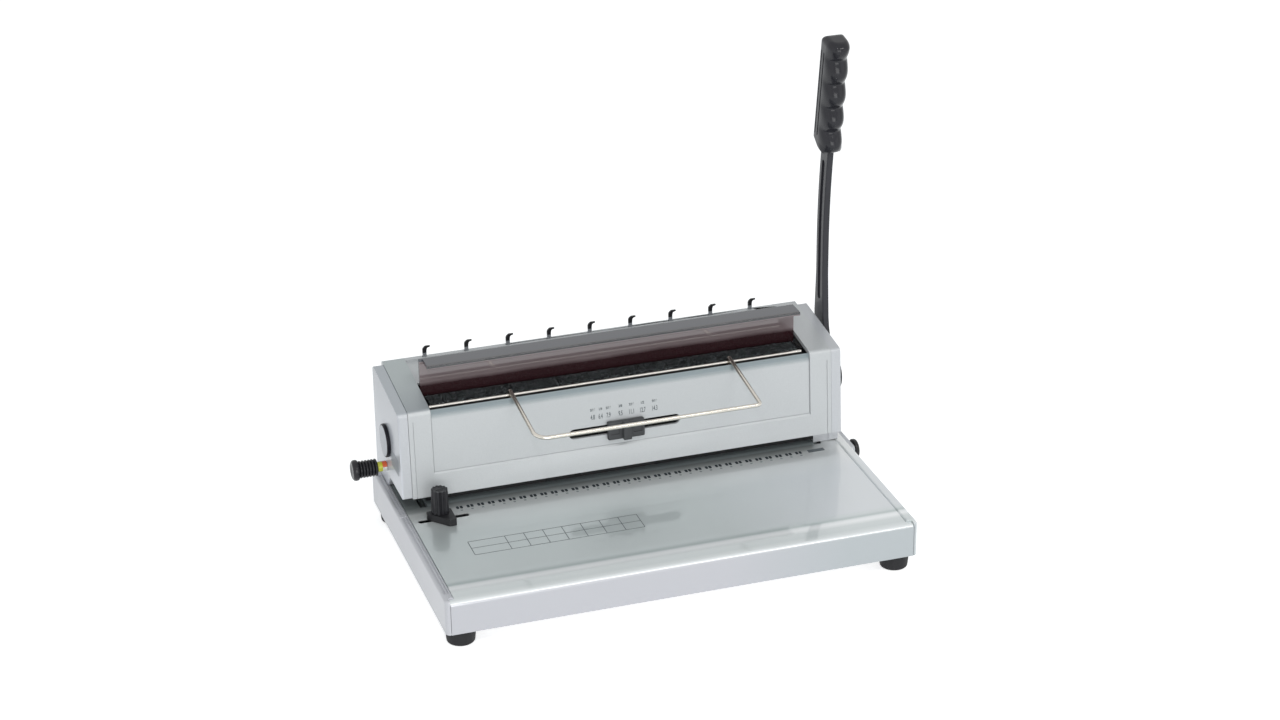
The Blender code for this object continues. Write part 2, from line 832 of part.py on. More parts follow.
def housing():
    outer = tower_outline(0, 0, 0, tower_front_round, tower_rear_round)
    inner = tower_outline(tower_wall, tower_wall, tower_wall, 0, 0)
    corners = outer + [(tower_rear, cap_bottom, 0), (tower_rear - tower_wall, cap_bottom, 0)]
    corners += reversed(inner)
    cover = plate("housing_cover", rounded(corners), -tower_half, tower_half)

    recess = face_line(panel_bottom)
    panel_top = tower_front_height - panel_top_drop
    inner_top = face_line(panel_top) + panel_depth
    panel = [
        (recess - overrun, panel_bottom),
        (recess, panel_bottom),
        (recess + panel_depth, panel_bottom + panel_depth),
        (inner_top, panel_top),
        (trough_front + clearance, panel_top + trough_front + clearance - inner_top),
        (trough_front + clearance, tower_front_height + overrun),
        (recess - overrun, tower_front_height + overrun),
    ]
    cut(cover, plate("housing_panel", panel, -panel_half, panel_half, to_side, True), "panel")
    trough = [(
        (-panel_half, trough_front, bed_top - bed_height),
        (panel_half, trough_rear, tower_rear_height + overrun),
    )]
    cut(cover, boxes("housing_trough", trough, True), "trough")
    deck_rear = tower_rear - rear_rim
    deck = [
        (trough_rear - overrun, top_level(trough_rear) - deck_depth),
        (deck_rear, top_level(deck_rear) - deck_depth),
        (deck_rear, tower_rear_height + overrun),
        (trough_rear - overrun, tower_rear_height + overrun),
    ]
    cut(cover, plate("housing_deck", deck, -panel_half, panel_half, to_side, True), "deck")
    slot = rounded([
        (-slot_half, slot_level - slot_half_height, slot_half_height / 2),
        (slot_half, slot_level - slot_half_height, slot_half_height / 2),
        (slot_half, slot_level + slot_half_height, slot_half_height / 2),
        (-slot_half, slot_level + slot_half_height, slot_half_height / 2),
    ], 2)
    slot_cutter = plate(
        "housing_slot", slot, -tower_front - tower_lean - tower_wall * 2, -tower_front + overrun,
        to_front, True,
    )
    cut(cover, slot_cutter, "slot")
    holes = []
    for x in hook_places():
        holes.append((
            (x - hook_half - clearance, strip_rear - hook_thickness - clearance, rail_top + skirt_height),
            (x + hook_half + clearance, strip_rear + clearance / 2, tower_rear_height + overrun),
        ))
    cut(cover, boxes("housing_hook_slots", holes, True), "hook_slots")
    settle(cover, "painted")
    end_cap("left_end_cap", -1)
    end_cap("right_end_cap", 1)


def end_cap(name, side):
    """A moulded end cover. The left one leaves the throat open and the right one closes it."""
    outer = tower_outline(
        cap_front_inset, cap_inset, cap_rear_inset, cap_front_round, cap_rear_round
    )
    rear = tower_rear - cap_rear_inset
    step = tower_front + throat_depth
    if side < 0:
        low = [(rear, cap_bottom, 0), (step + throat_height, cap_bottom, 0), (step, throat_roof, 0)]
        corners = outer + low
    else:
        lean = tower_lean * throat_height / (tower_front_height - throat_roof)
        low = [(rear, cap_bottom, 0), (tower_front + cap_front_inset - lean, cap_bottom, 0)]
        corners = outer[1:] + low
    ends = sorted((side * (tower_half + clearance), side * cap_outer))
    cap = plate(name, rounded(corners), ends[0], ends[1])
    soften(cap, cap_edge, 2, math.radians(60))
    inset = moulded_wall
    inner = tower_outline(
        cap_front_inset + inset, cap_inset + inset, cap_rear_inset + inset, 0, cap_rear_round - inset
    )
    pocket = [inner[0][:1] + (throat_roof + inset, 0)] + inner[1:]
    if side < 0:
        pocket += [
            (rear - inset, cap_bottom + inset, 0),
            (step + throat_height + inset, cap_bottom + inset, 0),
            (step + inset, throat_roof + inset, 0),
        ]
    else:
        pocket += [(rear - inset, cap_bottom + inset, 0)]
        pocket[0] = (inner[0][0], cap_bottom + inset, 0)
    ends = sorted((side * (tower_half - overrun), side * (cap_outer - inset)))
    cut(cap, plate(name + "_pocket", rounded(pocket), ends[0], ends[1], to_side, True), "pocket")
    start = min(side * tower_half, side * (cap_outer + overrun))
    length = cap_outer + overrun - tower_half
    shaft_hole = rods(
        name + "_shaft_hole", [((start, shaft_line, shaft_level), length)],
        shaft_radius + clearance * 4, "x", 20, True,
    )
    cut(cap, shaft_hole, "shaft_hole")
    if side < 0:
        hole = rods(
            name + "_rod_hole", [((start, depth_line, depth_level), length)],
            depth_rod_radius + clearance, "x", 16, True,
        )
        cut(cap, hole, "rod_hole")
    settle(cap, "painted")


def hole_places():
    first = hole_offset - hole_pitch * (hole_count - 1) / 2
    return [first + hole_pitch * i for i in range(hole_count)]


def hook_places():
    return hole_places()[::hook_every]


def punch_pieces():
    hole = hole_side / 2
    die_inner = frame_inner - clearance
    die = boxes("die_plate", [(
        (-die_inner, die_front, die_bottom), (die_inner, die_front + die_depth, die_top)
    )])
    spans = [(
        (x - hole, hole_line - hole, die_bottom - overrun),
        (x + hole, hole_line + hole, guide_top + overrun),
    ) for x in hole_places()]
    cut(die, boxes("die_holes", spans, True), "holes")
    settle(die, "steel")

    back = die_front + die_depth - guide_front
    guide = boxes("punch_guide", [(
        (-die_inner, back + clearance * 10, guide_bottom), (die_inner, back + guide_depth, guide_top)
    )])
    cut(guide, boxes("guide_holes", spans, True), "holes")
    posts = []
    for side in (-1, 1):
        posts.append(((side * post_spread, post_line, guide_bottom - overrun), post_height))
    cut(guide, rods("guide_post_holes", posts, post_radius + clearance, "z", 16, True), "posts")
    settle(guide, "steel")
    for side, name in ((-1, "left_guide_post"), (1, "right_guide_post")):
        start = (side * post_spread, post_line, guide_bottom + clearance)
        settle(rods(name, [(start, post_height)], post_radius, "z"), "steel")
    return spans


def ram_body():
    body = add_empty("ram_axis", (0, shaft_line, ram_rest), root)
    pin = hole_side / 2 - punch_clearance
    half = hole_pitch * (hole_count - 1) / 2 + ram_overhang
    rear = shaft_line - ram_rear_gap
    ram = boxes("punch_ram", [(
        (hole_offset - half, rear - ram_depth, ram_rest),
        (hole_offset + half, rear, ram_rest + ram_thickness),
    )])
    pins = [(
        (x - pin, hole_line - pin, punch_bottom), (x + pin, hole_line + pin, ram_rest + overrun)
    ) for x in hole_places()]
    join(ram, boxes("punch_pins", pins, True), "pins")
    places = [
        (side * post_spread, post_line, ram_rest - overrun) for side in (-1, 1)
    ]
    bores = [(place, ram_thickness + overrun * 2) for place in places]
    cut(ram, rods("ram_post_bores", bores, post_radius + clearance, "z", 16, True), "post_bores")
    wells = [(place, spring_pocket_depth + overrun) for place in places]
    cut(ram, rods("ram_spring_wells", wells, spring_pocket_radius, "z", 16, True), "wells")
    settle(ram, "steel", body)
    bottom = guide_top + clearance + spring_wire
    top = ram_rest + spring_pocket_depth - clearance - spring_wire
    for side, name in ((-1, "left_ram_spring"), (1, "right_ram_spring")):
        points = helix((side * post_spread, post_line, bottom), spring_radius, top - bottom, spring_turns)
        settle(tube(name, points, spring_wire), "steel")


def helix(centre, radius, height, turns, per_turn=10):
    points = []
    count = turns * per_turn
    for i in range(count + 1):
        angle = math.tau * i / per_turn
        points.append((
            centre[0] + radius * math.cos(angle),
            centre[1] + radius * math.sin(angle),
            centre[2] + height * i / count,
        ))
    return points


def convex_outline(points):
    """The convex outline of points in a plane, anticlockwise."""
    ordered = sorted(points)
    halves = []
    for run in (ordered, list(reversed(ordered))):
        chain = []
        for point in run:
            while len(chain) > 1:
                (ax, ay), (bx, by) = chain[-2], chain[-1]
                if (bx - ax) * (point[1] - ay) - (by - ay) * (point[0] - ax) > 0:
                    break
                chain.pop()
            chain.append(point)
        halves += chain[:-1]
    return halves


def cam_outline(centre, base, lift, travel, heading=0):
    """A cam that presses a flat face away steadily: part circle, part involute, in (Y, Z).

    The face lies below the cam, or in front of it with a heading of minus a right angle.
    """
    points = arc((0, 0), base, 0, 345, 23)
    steps = 14
    for i in range(steps + 1):
        turn = (travel + cam_spare) * i / steps
        reach = base + lift * turn
        y = -reach * math.sin(turn) - lift * math.cos(turn)
        z = -reach * math.cos(turn) + lift * math.sin(turn)
        points.append((y, z))
    turned_by = Matrix.Rotation(heading, 2)
    placed = [turned_by @ Vector(point) for point in convex_outline(points)]
    return [(centre[0] + y, centre[1] + z) for y, z in placed]


def frames():
    """Steel side plates that carry the shaft, die, guide and closer bed."""
    bottom = pan_top + clearance
    rear = frame_front + frame_depth
    for side, name in ((-1, "left_side_frame"), (1, "right_side_frame")):
        corners = [
            (frame_front, bottom, 0), (frame_front, frame_top, 0), (rear, frame_top, 0),
            (rear, bottom, 0),
        ]
        ends = sorted((side * frame_inner, side * frame_outer))
        frame = plate(name, rounded(corners), ends[0], ends[1])
        foot_start = frame_outer - frame_thickness / 2
        foot_ends = sorted((side * foot_start, side * (frame_outer + frame_foot)))
        flange = boxes(name + "_flange", [(
            (foot_ends[0], frame_front + clearance, bottom + clearance / 2),
            (foot_ends[1], rear - clearance, bottom + frame_thickness),
        )], True)
        join(frame, flange, "flange")
        start = ends[0] - overrun
        length = frame_thickness + overrun * 2
        bore = rods(
            name + "_bore", [((start, shaft_line, shaft_level), length)],
            shaft_radius + bush_wall + clearance * 2, "x", 20, True,
        )
        cut(frame, bore, "bore")
        hole = rods(
            name + "_rod_hole", [((start, depth_line, depth_level), length)],
            depth_rod_radius + clearance, "x", 16, True,
        )
        cut(frame, hole, "rod_hole")
        if side < 0:
            notch = [(
                (start, frame_front - overrun, die_bottom - clearance),
                (start + length, tower_front + throat_depth, throat_roof),
            )]
        else:
            notch = [(
                (frame_inner - overrun, frame_front - overrun, bottom - overrun),
                (frame_outer + frame_foot + overrun, drawer_front + drawer_depth + clearance,
                 drawer_top + clearance),
            )]
        cut(frame, boxes(name + "_notch", notch, True), "notch")
        settle(frame, "steel")
        bush(side)
    tie_start = (-frame_inner + clearance, tie_line, tie_level)
    tie = rods("rear_tie_bar", [(tie_start, (frame_inner - clearance) * 2)], tie_radius, "x")
    settle(tie, "steel")


def bush(side):
    bore = shaft_radius + clearance
    outer = bore + bush_wall
    top = frame_thickness
    profile = [
        (bore, top),
        (outer, top),
        (outer, -clearance),
        (outer + bush_flange_width, -clearance),
        (outer + bush_flange_width, -clearance - bush_flange),
        (bore, -clearance - bush_flange),
        (bore, top),
    ]
    name = "left_shaft_bush" if side < 0 else "right_shaft_bush"
    facing = to_left if side < 0 else to_right
    settle(turned(name, profile, (side * frame_inner, shaft_line, shaft_level), facing, 24), "bronze")


def handle_body():
    body = add_empty("handle_axis", (0, shaft_line, shaft_level), root)
    left_end = -cap_outer + moulded_wall
    right_end = hub_outer - hub_wall - clearance
    shaft = rods(
        "drive_shaft", [((left_end, shaft_line, shaft_level), right_end - left_end)],
        shaft_radius, "x", 20,
    )
    socket = rods(
        "drive_shaft_socket",
        [((right_end - hub_screw_depth, shaft_line, shaft_level), hub_screw_depth + overrun)],
        hub_screw_radius + clearance, "x", 12, True,
    )
    cut(shaft, socket, "socket")
    settle(shaft, "steel", body)
    bore = shaft_radius + clearance
    closer_cam_place = slide_inner - clearance * 2 - closer_cam_width / 2
    kinds = (
        ("ram_cam", ram_cam_base, ram_lift, ram_cam_place, ram_cam_width),
        ("closer_cam", closer_cam_base, closer_lift, closer_cam_place, closer_cam_width),
    )
    for kind, base, lift, place, width in kinds:
        for side, which in ((-1, "left"), (1, "right")):
            low = side * place - width / 2
            shape = cam_outline((shaft_line, shaft_level), base, lift, handle_travel)
            cam = plate(f"{which}_{kind}", shape, low, low + width)
            hole = rods(
                cam.name + "_bore", [((low - overrun, shaft_line, shaft_level), width + overrun * 2)],
                bore, "x", 20, True,
            )
            cut(cam, hole, "bore")
            settle(cam, "steel", body)
    handle_arm(body)
    handle_grip(body)
    head_start = hub_outer + clearance
    profile = [
        (0, hub_screw_head),
        (hub_screw_head_radius * 0.8, hub_screw_head),
        (hub_screw_head_radius, hub_screw_head * 0.6),
        (hub_screw_head_radius, 0),
        (hub_screw_radius, 0),
        (hub_screw_radius, -hub_screw_depth),
        (0, -hub_screw_depth),
    ]
    screw = turned("handle_hub_screw", profile, (head_start, shaft_line, shaft_level), to_right)
    settle(screw, "steel", body)
    return_spring()


def return_spring():
    radius = shaft_radius + clearance * 2 + return_spring_wire
    length = return_spring_turns * return_spring_pitch
    coil = helix((0, 0, 0), radius, length, return_spring_turns)
    first = coil[0]
    last = coil[-1]
    points = [(first[0], first[1] - return_spring_leg, first[2])] + coil
    points.append((last[0], last[1] + return_spring_leg, last[2]))
    start = -return_spring_place - length / 2
    points = [(start + z, shaft_line + x, shaft_level + y) for x, y, z in points]
    settle(tube("handle_return_spring", points, return_spring_wire), "steel")


def arm_spine():
    """The arm's middle line in (Y, Z) from the hub to its top."""
    heights = 20
    points = []
    straight = arm_top_height - tang_length
    slope = math.tan(grip_lean)
    for i in range(heights + 1):
        z = arm_top_height * i / heights
        bow = arm_bow * math.sin(math.pi / 2 * min(1, z / arm_bow_height))
        bent = min(max(0, z - arm_bend_start), straight - arm_bend_start)
        bend = slope * bent * bent / (2 * (straight - arm_bend_start))
        fall = slope * max(0, z - straight)
        points.append((shaft_line + bow - bend - fall, shaft_level + z))
    return points


def arm_outline(spread):
    spine = arm_spine()
    front, rear = [], []
    for y, z in spine[1:]:
        near = (arm_root_end - (z - shaft_level)) / (arm_root_end - arm_root_start)
        half = arm_half + (arm_root_half - arm_half) * min(1, max(0, near)) + spread
        front.append((y - half, z))
        rear.append((y + half, z))
    top = spine[-1][1] + spread
    front[-1] = (front[-1][0], top)
    rear[-1] = (rear[-1][0], top)
    return [(shaft_line - arm_half, shaft_level)] + front + list(reversed(rear)) + [
        (shaft_line + arm_half, shaft_level)
    ]


def handle_arm(body):
    arm = plate("handle_arm", arm_outline(0), arm_inner, arm_inner + arm_thickness)
    soften(arm, arm_edge, 1, math.radians(60))
    hub = plate(
        "handle_hub", arc((shaft_line, shaft_level), hub_radius, 0, 345, 23), hub_inner, hub_outer,
        to_side, True,
    )
    soften(hub, arm_edge, 2, math.radians(60))
    join(arm, hub, "hub")
    spine = arm_spine()
    for side, name in ((-1, "inner"), (1, "outer")):
        line = [p for p in spine if arm_groove_start <= p[1] - shaft_level <= arm_top_height * 0.76]
        front = [(y - arm_groove_half, z) for y, z in line]
        rear = [(y + arm_groove_half, z) for y, z in reversed(line)]
        face = arm_inner if side < 0 else arm_inner + arm_thickness
        ends = sorted((face + side * overrun, face - side * arm_groove_depth))
        groove = plate(f"arm_groove_{name}", front + rear, ends[0], ends[1], to_side, True)
        cut(arm, groove, f"groove_{name}")
    bore = rods(
        "arm_bore",
        [((hub_inner - overrun, shaft_line, shaft_level), hub_length - hub_wall + overrun)],
        shaft_radius + clearance, "x", 20, True,
    )
    cut(arm, bore, "bore")
    screw_hole = rods(
        "arm_screw_hole", [((hub_inner, shaft_line, shaft_level), hub_length + overrun)],
        hub_screw_radius + clearance, "x", 12, True,
    )
    cut(arm, screw_hole, "screw_hole")
    settle(arm, "cast_black", body)


def grip_outline():
    """Side view of the grip about its own foot: a straight back, and finger lobes in front."""
    steps = grip_lobes * 8
    pitch = grip_length / (grip_lobes - 0.36)
    front = []
    for i in range(steps + 1):
        height = grip_length * 0.94 * i / steps
        fade = 1 - grip_bump_fade * height / grip_length
        wave = 0.5 + 0.5 * math.cos(math.tau * (height / pitch - 0.36))
        front.append((-grip_front - grip_bump * fade * wave, height))
    crown = [
        (-grip_front + grip_crown * 0.3, grip_length * 0.985),
        (-grip_front + grip_crown, grip_length),
        (grip_back - grip_crown, grip_length),
        (grip_back - grip_crown * 0.3, grip_length - grip_crown * 0.3),
        (grip_back, grip_length - grip_crown),
    ]
    return front + crown + [(grip_back, grip_heel), (grip_back - grip_heel, grip_heel * 0.5)]


def handle_grip(body):
    spine = arm_spine()
    foot_z = spine[-1][1] - tang_length
    foot_y = spine[-1][0] + math.tan(grip_lean) * tang_length
    outline = []
    for u, v in grip_outline():
        y = foot_y + u * math.cos(grip_lean) - v * math.sin(grip_lean)
        z = foot_z + u * math.sin(grip_lean) + v * math.cos(grip_lean)
        outline.append((y, z))
    grip = plate("handle_grip", outline, arm_middle - grip_half, arm_middle + grip_half)
    soften(grip, grip_edge, 3, math.radians(50))
    socket = plate(
        "grip_socket", arm_outline(clearance), arm_inner - clearance,
        arm_inner + arm_thickness + clearance, to_side, True,
    )
    cut(grip, socket, "socket")
    settle(grip, "grip_plastic", body)


def shaft_plug():
    profile = [(plug_radius * out, plug_dome * up) for out, up in plug_shares]
    profile += [
        (shaft_radius + clearance * 3, 0),
        (shaft_radius + clearance * 3, -plug_stem),
        (0, -plug_stem),
    ]
    place = (-cap_outer - clearance, shaft_line, shaft_level)
    settle(turned("left_shaft_plug", profile, place, to_left, 28), "gloss_black")


def closer_pieces():
    body = add_empty("closer_axis", (0, jaw_rear, jaw_top), root)
    jaw_corners = [
        (jaw_front, jaw_top, 0),
        (jaw_front, jaw_top - jaw_thickness, 0),
        (jaw_rear - jaw_thickness, jaw_top - jaw_thickness, 0),
        (jaw_rear - jaw_thickness, jaw_bottom, 0),
        (jaw_rear, jaw_bottom, 0),
        (jaw_rear, jaw_top, 0),
    ]
    jaw = plate("closer_jaw", rounded(jaw_corners), -jaw_half, jaw_half)
    settle(jaw, "smoked", body)

    shelf_top = shaft_level - closer_cam_base - clearance
    shelf_bottom = shelf_top - slide_bar
    over = shaft_level + shaft_radius + closer_stroke + clearance * 2
    front = bed_shoulder + clearance
    rear = shaft_line - shaft_radius - clearance * 2
    outline = [
        (front, shelf_bottom),
        (rear, shelf_bottom),
        (rear, over),
        (jaw_rear, over),
        (jaw_rear, jaw_bottom + slide_overlap),
        (front, jaw_bottom + slide_overlap),
    ]
    for side, name in ((-1, "left_closer_slide"), (1, "right_closer_slide")):
        ends = sorted((side * slide_inner, side * (slide_inner + slide_thickness)))
        slide = plate(name, outline, ends[0], ends[1])
        ends = sorted((side * (slide_inner - slide_shelf), side * (slide_inner + slide_thickness / 2)))
        shelf = boxes(name + "_shelf", [(
            (ends[0], front + clearance, shelf_bottom + clearance), (ends[1], rear - clearance, shelf_top)
        )], True)
        join(slide, shelf, "shelf")
        settle(slide, "steel", body)

    bed_rear = jaw_rear - jaw_thickness - bed_rear_gap
    inner = frame_inner - clearance
    bed = boxes("closer_bed", [(
        (-inner, bed_front, bed_top - bed_height), (inner, bed_rear, bed_top)
    )])
    shoulders = []
    for side in (-1, 1):
        ends = sorted((side * (slide_inner - clearance), side * (inner + overrun)))
        shoulders.append((
            (ends[0], bed_shoulder, bed_top - bed_height - overrun),
            (ends[1], bed_rear + overrun, bed_top + overrun),
        ))
    cut(bed, boxes("bed_shoulders", shoulders, True), "shoulders")
    pad_half = jaw_half - clearance * 8
    well = [(
        (-pad_half, pad_front, bed_top - pad_well),
        (pad_half, bed_rear - clearance * 4, bed_top + overrun),
    )]
    cut(bed, boxes("bed_well", well, True), "well")
    eye = rod_radius + clearance + bail_radius * 2
    notches = []
    for side in (-1, 1):
        middle = side * bail_half
        notches.append((
            (middle - bail_notch_half, rod_line - eye - clearance * 2, rod_level - eye - clearance * 2),
            (middle + bail_notch_half, rod_line + eye + clearance * 2, bed_top + overrun),
        ))
    cut(bed, boxes("bed_notches", notches, True), "notches")
    settle(bed, "black_plastic")
    pad = boxes("closer_pad", [(
        (-pad_half + clearance, pad_front + clearance, bed_top - pad_well + clearance),
        (pad_half - clearance, bed_rear - clearance * 5, bed_top + pad_stand),
    )])
    settle(pad, "foam")
    rod_half = panel_half - clearance * 5
    rod = rods("front_rod", [((-rod_half, rod_line, rod_level), rod_half * 2)], rod_radius, "x", 12)
    settle(rod, "rod_steel")


def wire_bail():
    """A bent steel wire: an eye round the front rod, a leg, a front bar, and the same again."""
    body = add_empty("bail_axis", (0, rod_line, rod_level), root)
    eye = rod_radius + clearance + bail_radius
    run = rod_line - bail_front
    drop = rod_level - bail_front_level
    span = math.hypot(run, drop)
    lean = math.asin(eye / span) + math.atan2(drop, run)
    direction = (-math.cos(lean), -math.sin(lean))
    up = (-direction[1], direction[0])
    if up[1] < 0:
        up = (-up[0], -up[1])
    tangent = math.degrees(math.atan2(up[1], up[0]))
    ring = arc((rod_line, rod_level), eye, tangent - math.degrees(bail_eye_turn), tangent, 12)
    leg = math.sqrt(span * span - eye * eye)
    start = (rod_line + up[0] * eye, rod_level + up[1] * eye)

    def along(distance):
        return (start[0] + direction[0] * distance, start[1] + direction[1] * distance)

    half = [(bail_half, y, z) for y, z in ring]
    corner_steps = 5
    for i in range(corner_steps + 1):
        turn = math.pi / 2 * i / corner_steps
        y, z = along(leg - bail_corner + bail_corner * math.sin(turn))
        half.append((bail_half - bail_corner * (1 - math.cos(turn)), y, z))
    other = [(-x, y, z) for x, y, z in reversed(half)]
    settle(tube("wire_bail", half + other, bail_radius, 2), "rod_steel", body)


def hook_strip():
    """A steel strip inside the rear wall whose hooks stand up through the rear rim."""
    top = top_level(strip_rear) - tower_wall - clearance
    crest = top_level(strip_rear) + hook_height
    rise = crest - top
    places = hook_places()
    left = places[0] - hook_strip_ends
    right = places[-1] + hook_strip_ends
    outline = [(left, top - hook_strip_height), (left, top)]
    for x in places:
        outline += [
            (x - hook_half, top),
            (x - hook_half, top + rise * 0.62),
            (x - hook_half * 0.7, top + rise * 0.83),
            (x + hook_half * 0.6, top + rise * 0.97),
            (x + hook_reach, top + rise),
            (x + hook_reach, top + rise - hook_tip),
            (x + hook_half * 1.3, top + rise * 0.88),
            (x + hook_half, top + rise * 0.7),
            (x + hook_half, top),
        ]
    outline += [(right, top), (right, top - hook_strip_height)]
    strip = plate("hook_strip", outline, -strip_rear, -strip_rear + hook_thickness, to_front)
    settle(strip, "black_plastic")


def selector():
    """The size slider in front of the wall, and its stepped stop behind."""
    body = add_empty("selector_axis", (0, face_line(slot_level), slot_level), root)
    lean = math.atan2(tower_lean, tower_front_height - throat_roof)
    face = panel_depth - clearance
    back = face - slider_depth
    low = slot_level - slider_height / 2
    middle = face_line(slot_level)
    slider = boxes("selector_slider", [(
        (-slider_half, middle + back, low), (slider_half, middle + face, low + slider_height)
    )])
    soften(slider, slider_round)
    ridge = boxes("selector_ridge", [(
        (-slider_ridge_half, middle + back - slider_ridge_depth, low - clearance),
        (slider_ridge_half, middle + face - clearance, low + slider_height - clearance),
    )], True)
    soften(ridge, slider_round)
    join(slider, ridge, "ridge")
    neck_half = slot_half_height - clearance * 2
    inner = tower_wall + clearance * 2
    neck = boxes("selector_neck", [(
        (-slider_neck_half, middle + back + slider_depth / 2, slot_level - neck_half),
        (slider_neck_half, middle + inner + clearance * 2, slot_level + neck_half),
    )], True)
    join(slider, neck, "neck")
    settle(slider, "black_plastic", body)

    outline = [(-stop_half, slot_level - stop_height / 2), (stop_half, slot_level - stop_height / 2)]
    step_width = stop_half * 2 / stop_steps
    level = slot_level + stop_height / 2
    for i in range(stop_steps):
        right = stop_half - step_width * i
        outline += [(right, level - stop_step * i / 2), (right - step_width, level - stop_step * i / 2)]
    start = -(middle + inner + clearance * 3)
    stop = plate("selector_stop", outline, start - stop_thickness, start, to_front)
    settle(stop, "steel", body)
    turn = Matrix.Rotation(-lean, 4, "X")
    pivot = Matrix.Translation((0, middle, slot_level))
    for item in (slider, stop, ridge, neck):
        item.data.transform(pivot @ turn @ pivot.inverted())


def edge_guide():
    left = guide_block_left
    right = left + guide_block_width
    front = guide_slot_line - guide_block_front
    rear = guide_slot_line + guide_block_back
    middle = (left + right) / 2
    body = add_empty("edge_guide_axis", (middle, guide_slot_line, plate_top), root)
    bottom = plate_top + clearance
    top = bottom + guide_block_height
    outline = [
        (left, rear), (left, front + guide_block_cut), (left + guide_block_cut, front),
        (right, front), (right, rear),
    ]
    block = plate("edge_guide_block", outline, bottom, top, Matrix.Identity(4))
    soften(block, guide_block_edge, 1, math.radians(60))
    tongue = boxes("edge_guide_tongue", [(
        (middle - clamp_half, guide_slot_line - guide_slot_half + clearance, plate_under - clearance),
        (middle + clamp_half, guide_slot_line + guide_slot_half - clearance, top - clearance * 3),
    )], True)
    join(block, tongue, "tongue")
    bore = rods(
        "edge_guide_bore",
        [((middle, guide_slot_line, plate_under - overrun), top - plate_under + overrun * 2)],
        guide_stud_radius + clearance / 2, "z", 12, True,
    )
    cut(block, bore, "bore")
    settle(block, "black_plastic", body)

    clamp_top = plate_under - clearance * 2
    clamp = boxes("edge_guide_clamp", [(
        (middle - clamp_half, guide_slot_line - clamp_half, clamp_top - clamp_thickness),
        (middle + clamp_half, guide_slot_line + clamp_half, clamp_top),
    )])
    hole = rods(
        "clamp_bore",
        [((middle, guide_slot_line, clamp_top - clamp_thickness - overrun), clamp_thickness + overrun * 2)],
        guide_stud_radius + clearance / 2, "z", 12, True,
    )
    cut(clamp, hole, "bore")
    settle(clamp, "steel", body)

    spin = add_empty("edge_guide_knob_axis", (middle, guide_slot_line, top), root)
    base = top + clearance
    count = guide_knob_flutes
    outline = []
    for i in range(count):
        for share, inset in ((0.0, 0), (0.3, 0), (0.5, guide_knob_flute), (0.8, guide_knob_flute)):
            angle = math.tau * (i + share) / count
            radius = guide_knob_radius - inset
            outline.append((
                middle + radius * math.cos(angle), guide_slot_line + radius * math.sin(angle)
            ))
    knob = plate("edge_guide_knob", outline, base, base + guide_knob_height, Matrix.Identity(4))
    soften(knob, guide_knob_edge, 1, math.radians(75))
    stud_low = clamp_top - clamp_thickness - clearance
    stud = rods(
        "edge_guide_stud", [((middle, guide_slot_line, stud_low), base + overrun - stud_low)],
        guide_stud_radius, "z", 12, True,
    )
    join(knob, stud, "stud")
    settle(knob, "black_plastic", spin)


def depth_control():
    """The margin depth knob, its rod and cams, and the gauge that they push."""
    body = add_empty("depth_axis", (-cap_outer, depth_line, depth_level), root)
    rod_start = -knob_inner - depth_knob_length / 2
    rod = rods(
        "depth_rod", [((rod_start, depth_line, depth_level), depth_rod_right - rod_start)],
        depth_rod_radius, "x", 16,
    )
    settle(rod, "steel", body)
    dial_bore = depth_rod_radius + clearance
    dial = [
        (dial_bore, depth_dial_length),
        (depth_dial_radius, depth_dial_length),
        (depth_dial_radius, 0),
        (dial_bore, 0),
        (dial_bore, depth_dial_length),
    ]
    place = (-cap_outer - clearance, depth_line, depth_level)
    settle(turned("depth_dial", dial, place, to_left, 24), "dial", body)
    knob = [(0, depth_knob_length + depth_knob_flange)]
    knob += [(depth_knob_flange_radius * 0.82, depth_knob_length + depth_knob_flange)]
    knob += [(depth_knob_flange_radius, depth_knob_length + depth_knob_flange * 0.7)]
    knob += [(depth_knob_flange_radius, depth_knob_length + depth_knob_flange * 0.25)]
    rib = depth_knob_length / depth_knob_ribs
    for i in reversed(range(depth_knob_ribs)):
        knob += [
            (depth_knob_radius - depth_knob_rib, rib * (i + 1)),
            (depth_knob_radius, rib * (i + 0.7)),
            (depth_knob_radius, rib * (i + 0.3)),
        ]
    knob += [(depth_knob_radius - depth_knob_rib, 0), (dial_bore, 0)]
    knob += [(dial_bore, depth_knob_length / 2 + clearance), (0, depth_knob_length / 2 + clearance)]
    place = (-knob_inner, depth_line, depth_level)
    settle(turned("depth_knob", knob, place, to_left, 24), "black_plastic", body)
    for side, name in ((-1, "left_depth_cam"), (1, "right_depth_cam")):
        low = side * depth_cam_place - depth_cam_width / 2
        shape = cam_outline(
            (depth_line, depth_level), depth_cam_base, depth_travel / depth_turn, depth_turn,
            -math.pi / 2,
        )
        cam = plate(name, shape, low, low + depth_cam_width)
        hole = rods(
            name + "_bore", [((low - overrun, depth_line, depth_level), depth_cam_width + overrun * 2)],
            depth_rod_radius + clearance, "x", 16, True,
        )
        cut(cam, hole, "bore")
        settle(cam, "steel", body)

    gauge_body = add_empty("gauge_axis", (0, depth_gauge_front, die_top), root)
    bottom = die_top + clearance
    rear = depth_line - depth_cam_base - clearance
    gauge = boxes("depth_gauge", [(
        (-depth_gauge_half, depth_gauge_front, bottom),
        (depth_gauge_half, rear, bottom + depth_gauge_thickness),
    )])
    tabs = []
    for side in (-1, 1):
        middle = side * depth_cam_place
        tabs.append((
            (middle - depth_gauge_tab_half, rear - depth_gauge_tab, bottom + clearance),
            (middle + depth_gauge_tab_half, rear, depth_gauge_tab_top),
        ))
    join(gauge, boxes("gauge_tabs", tabs, True), "tabs")
    settle(gauge, "steel", gauge_body)


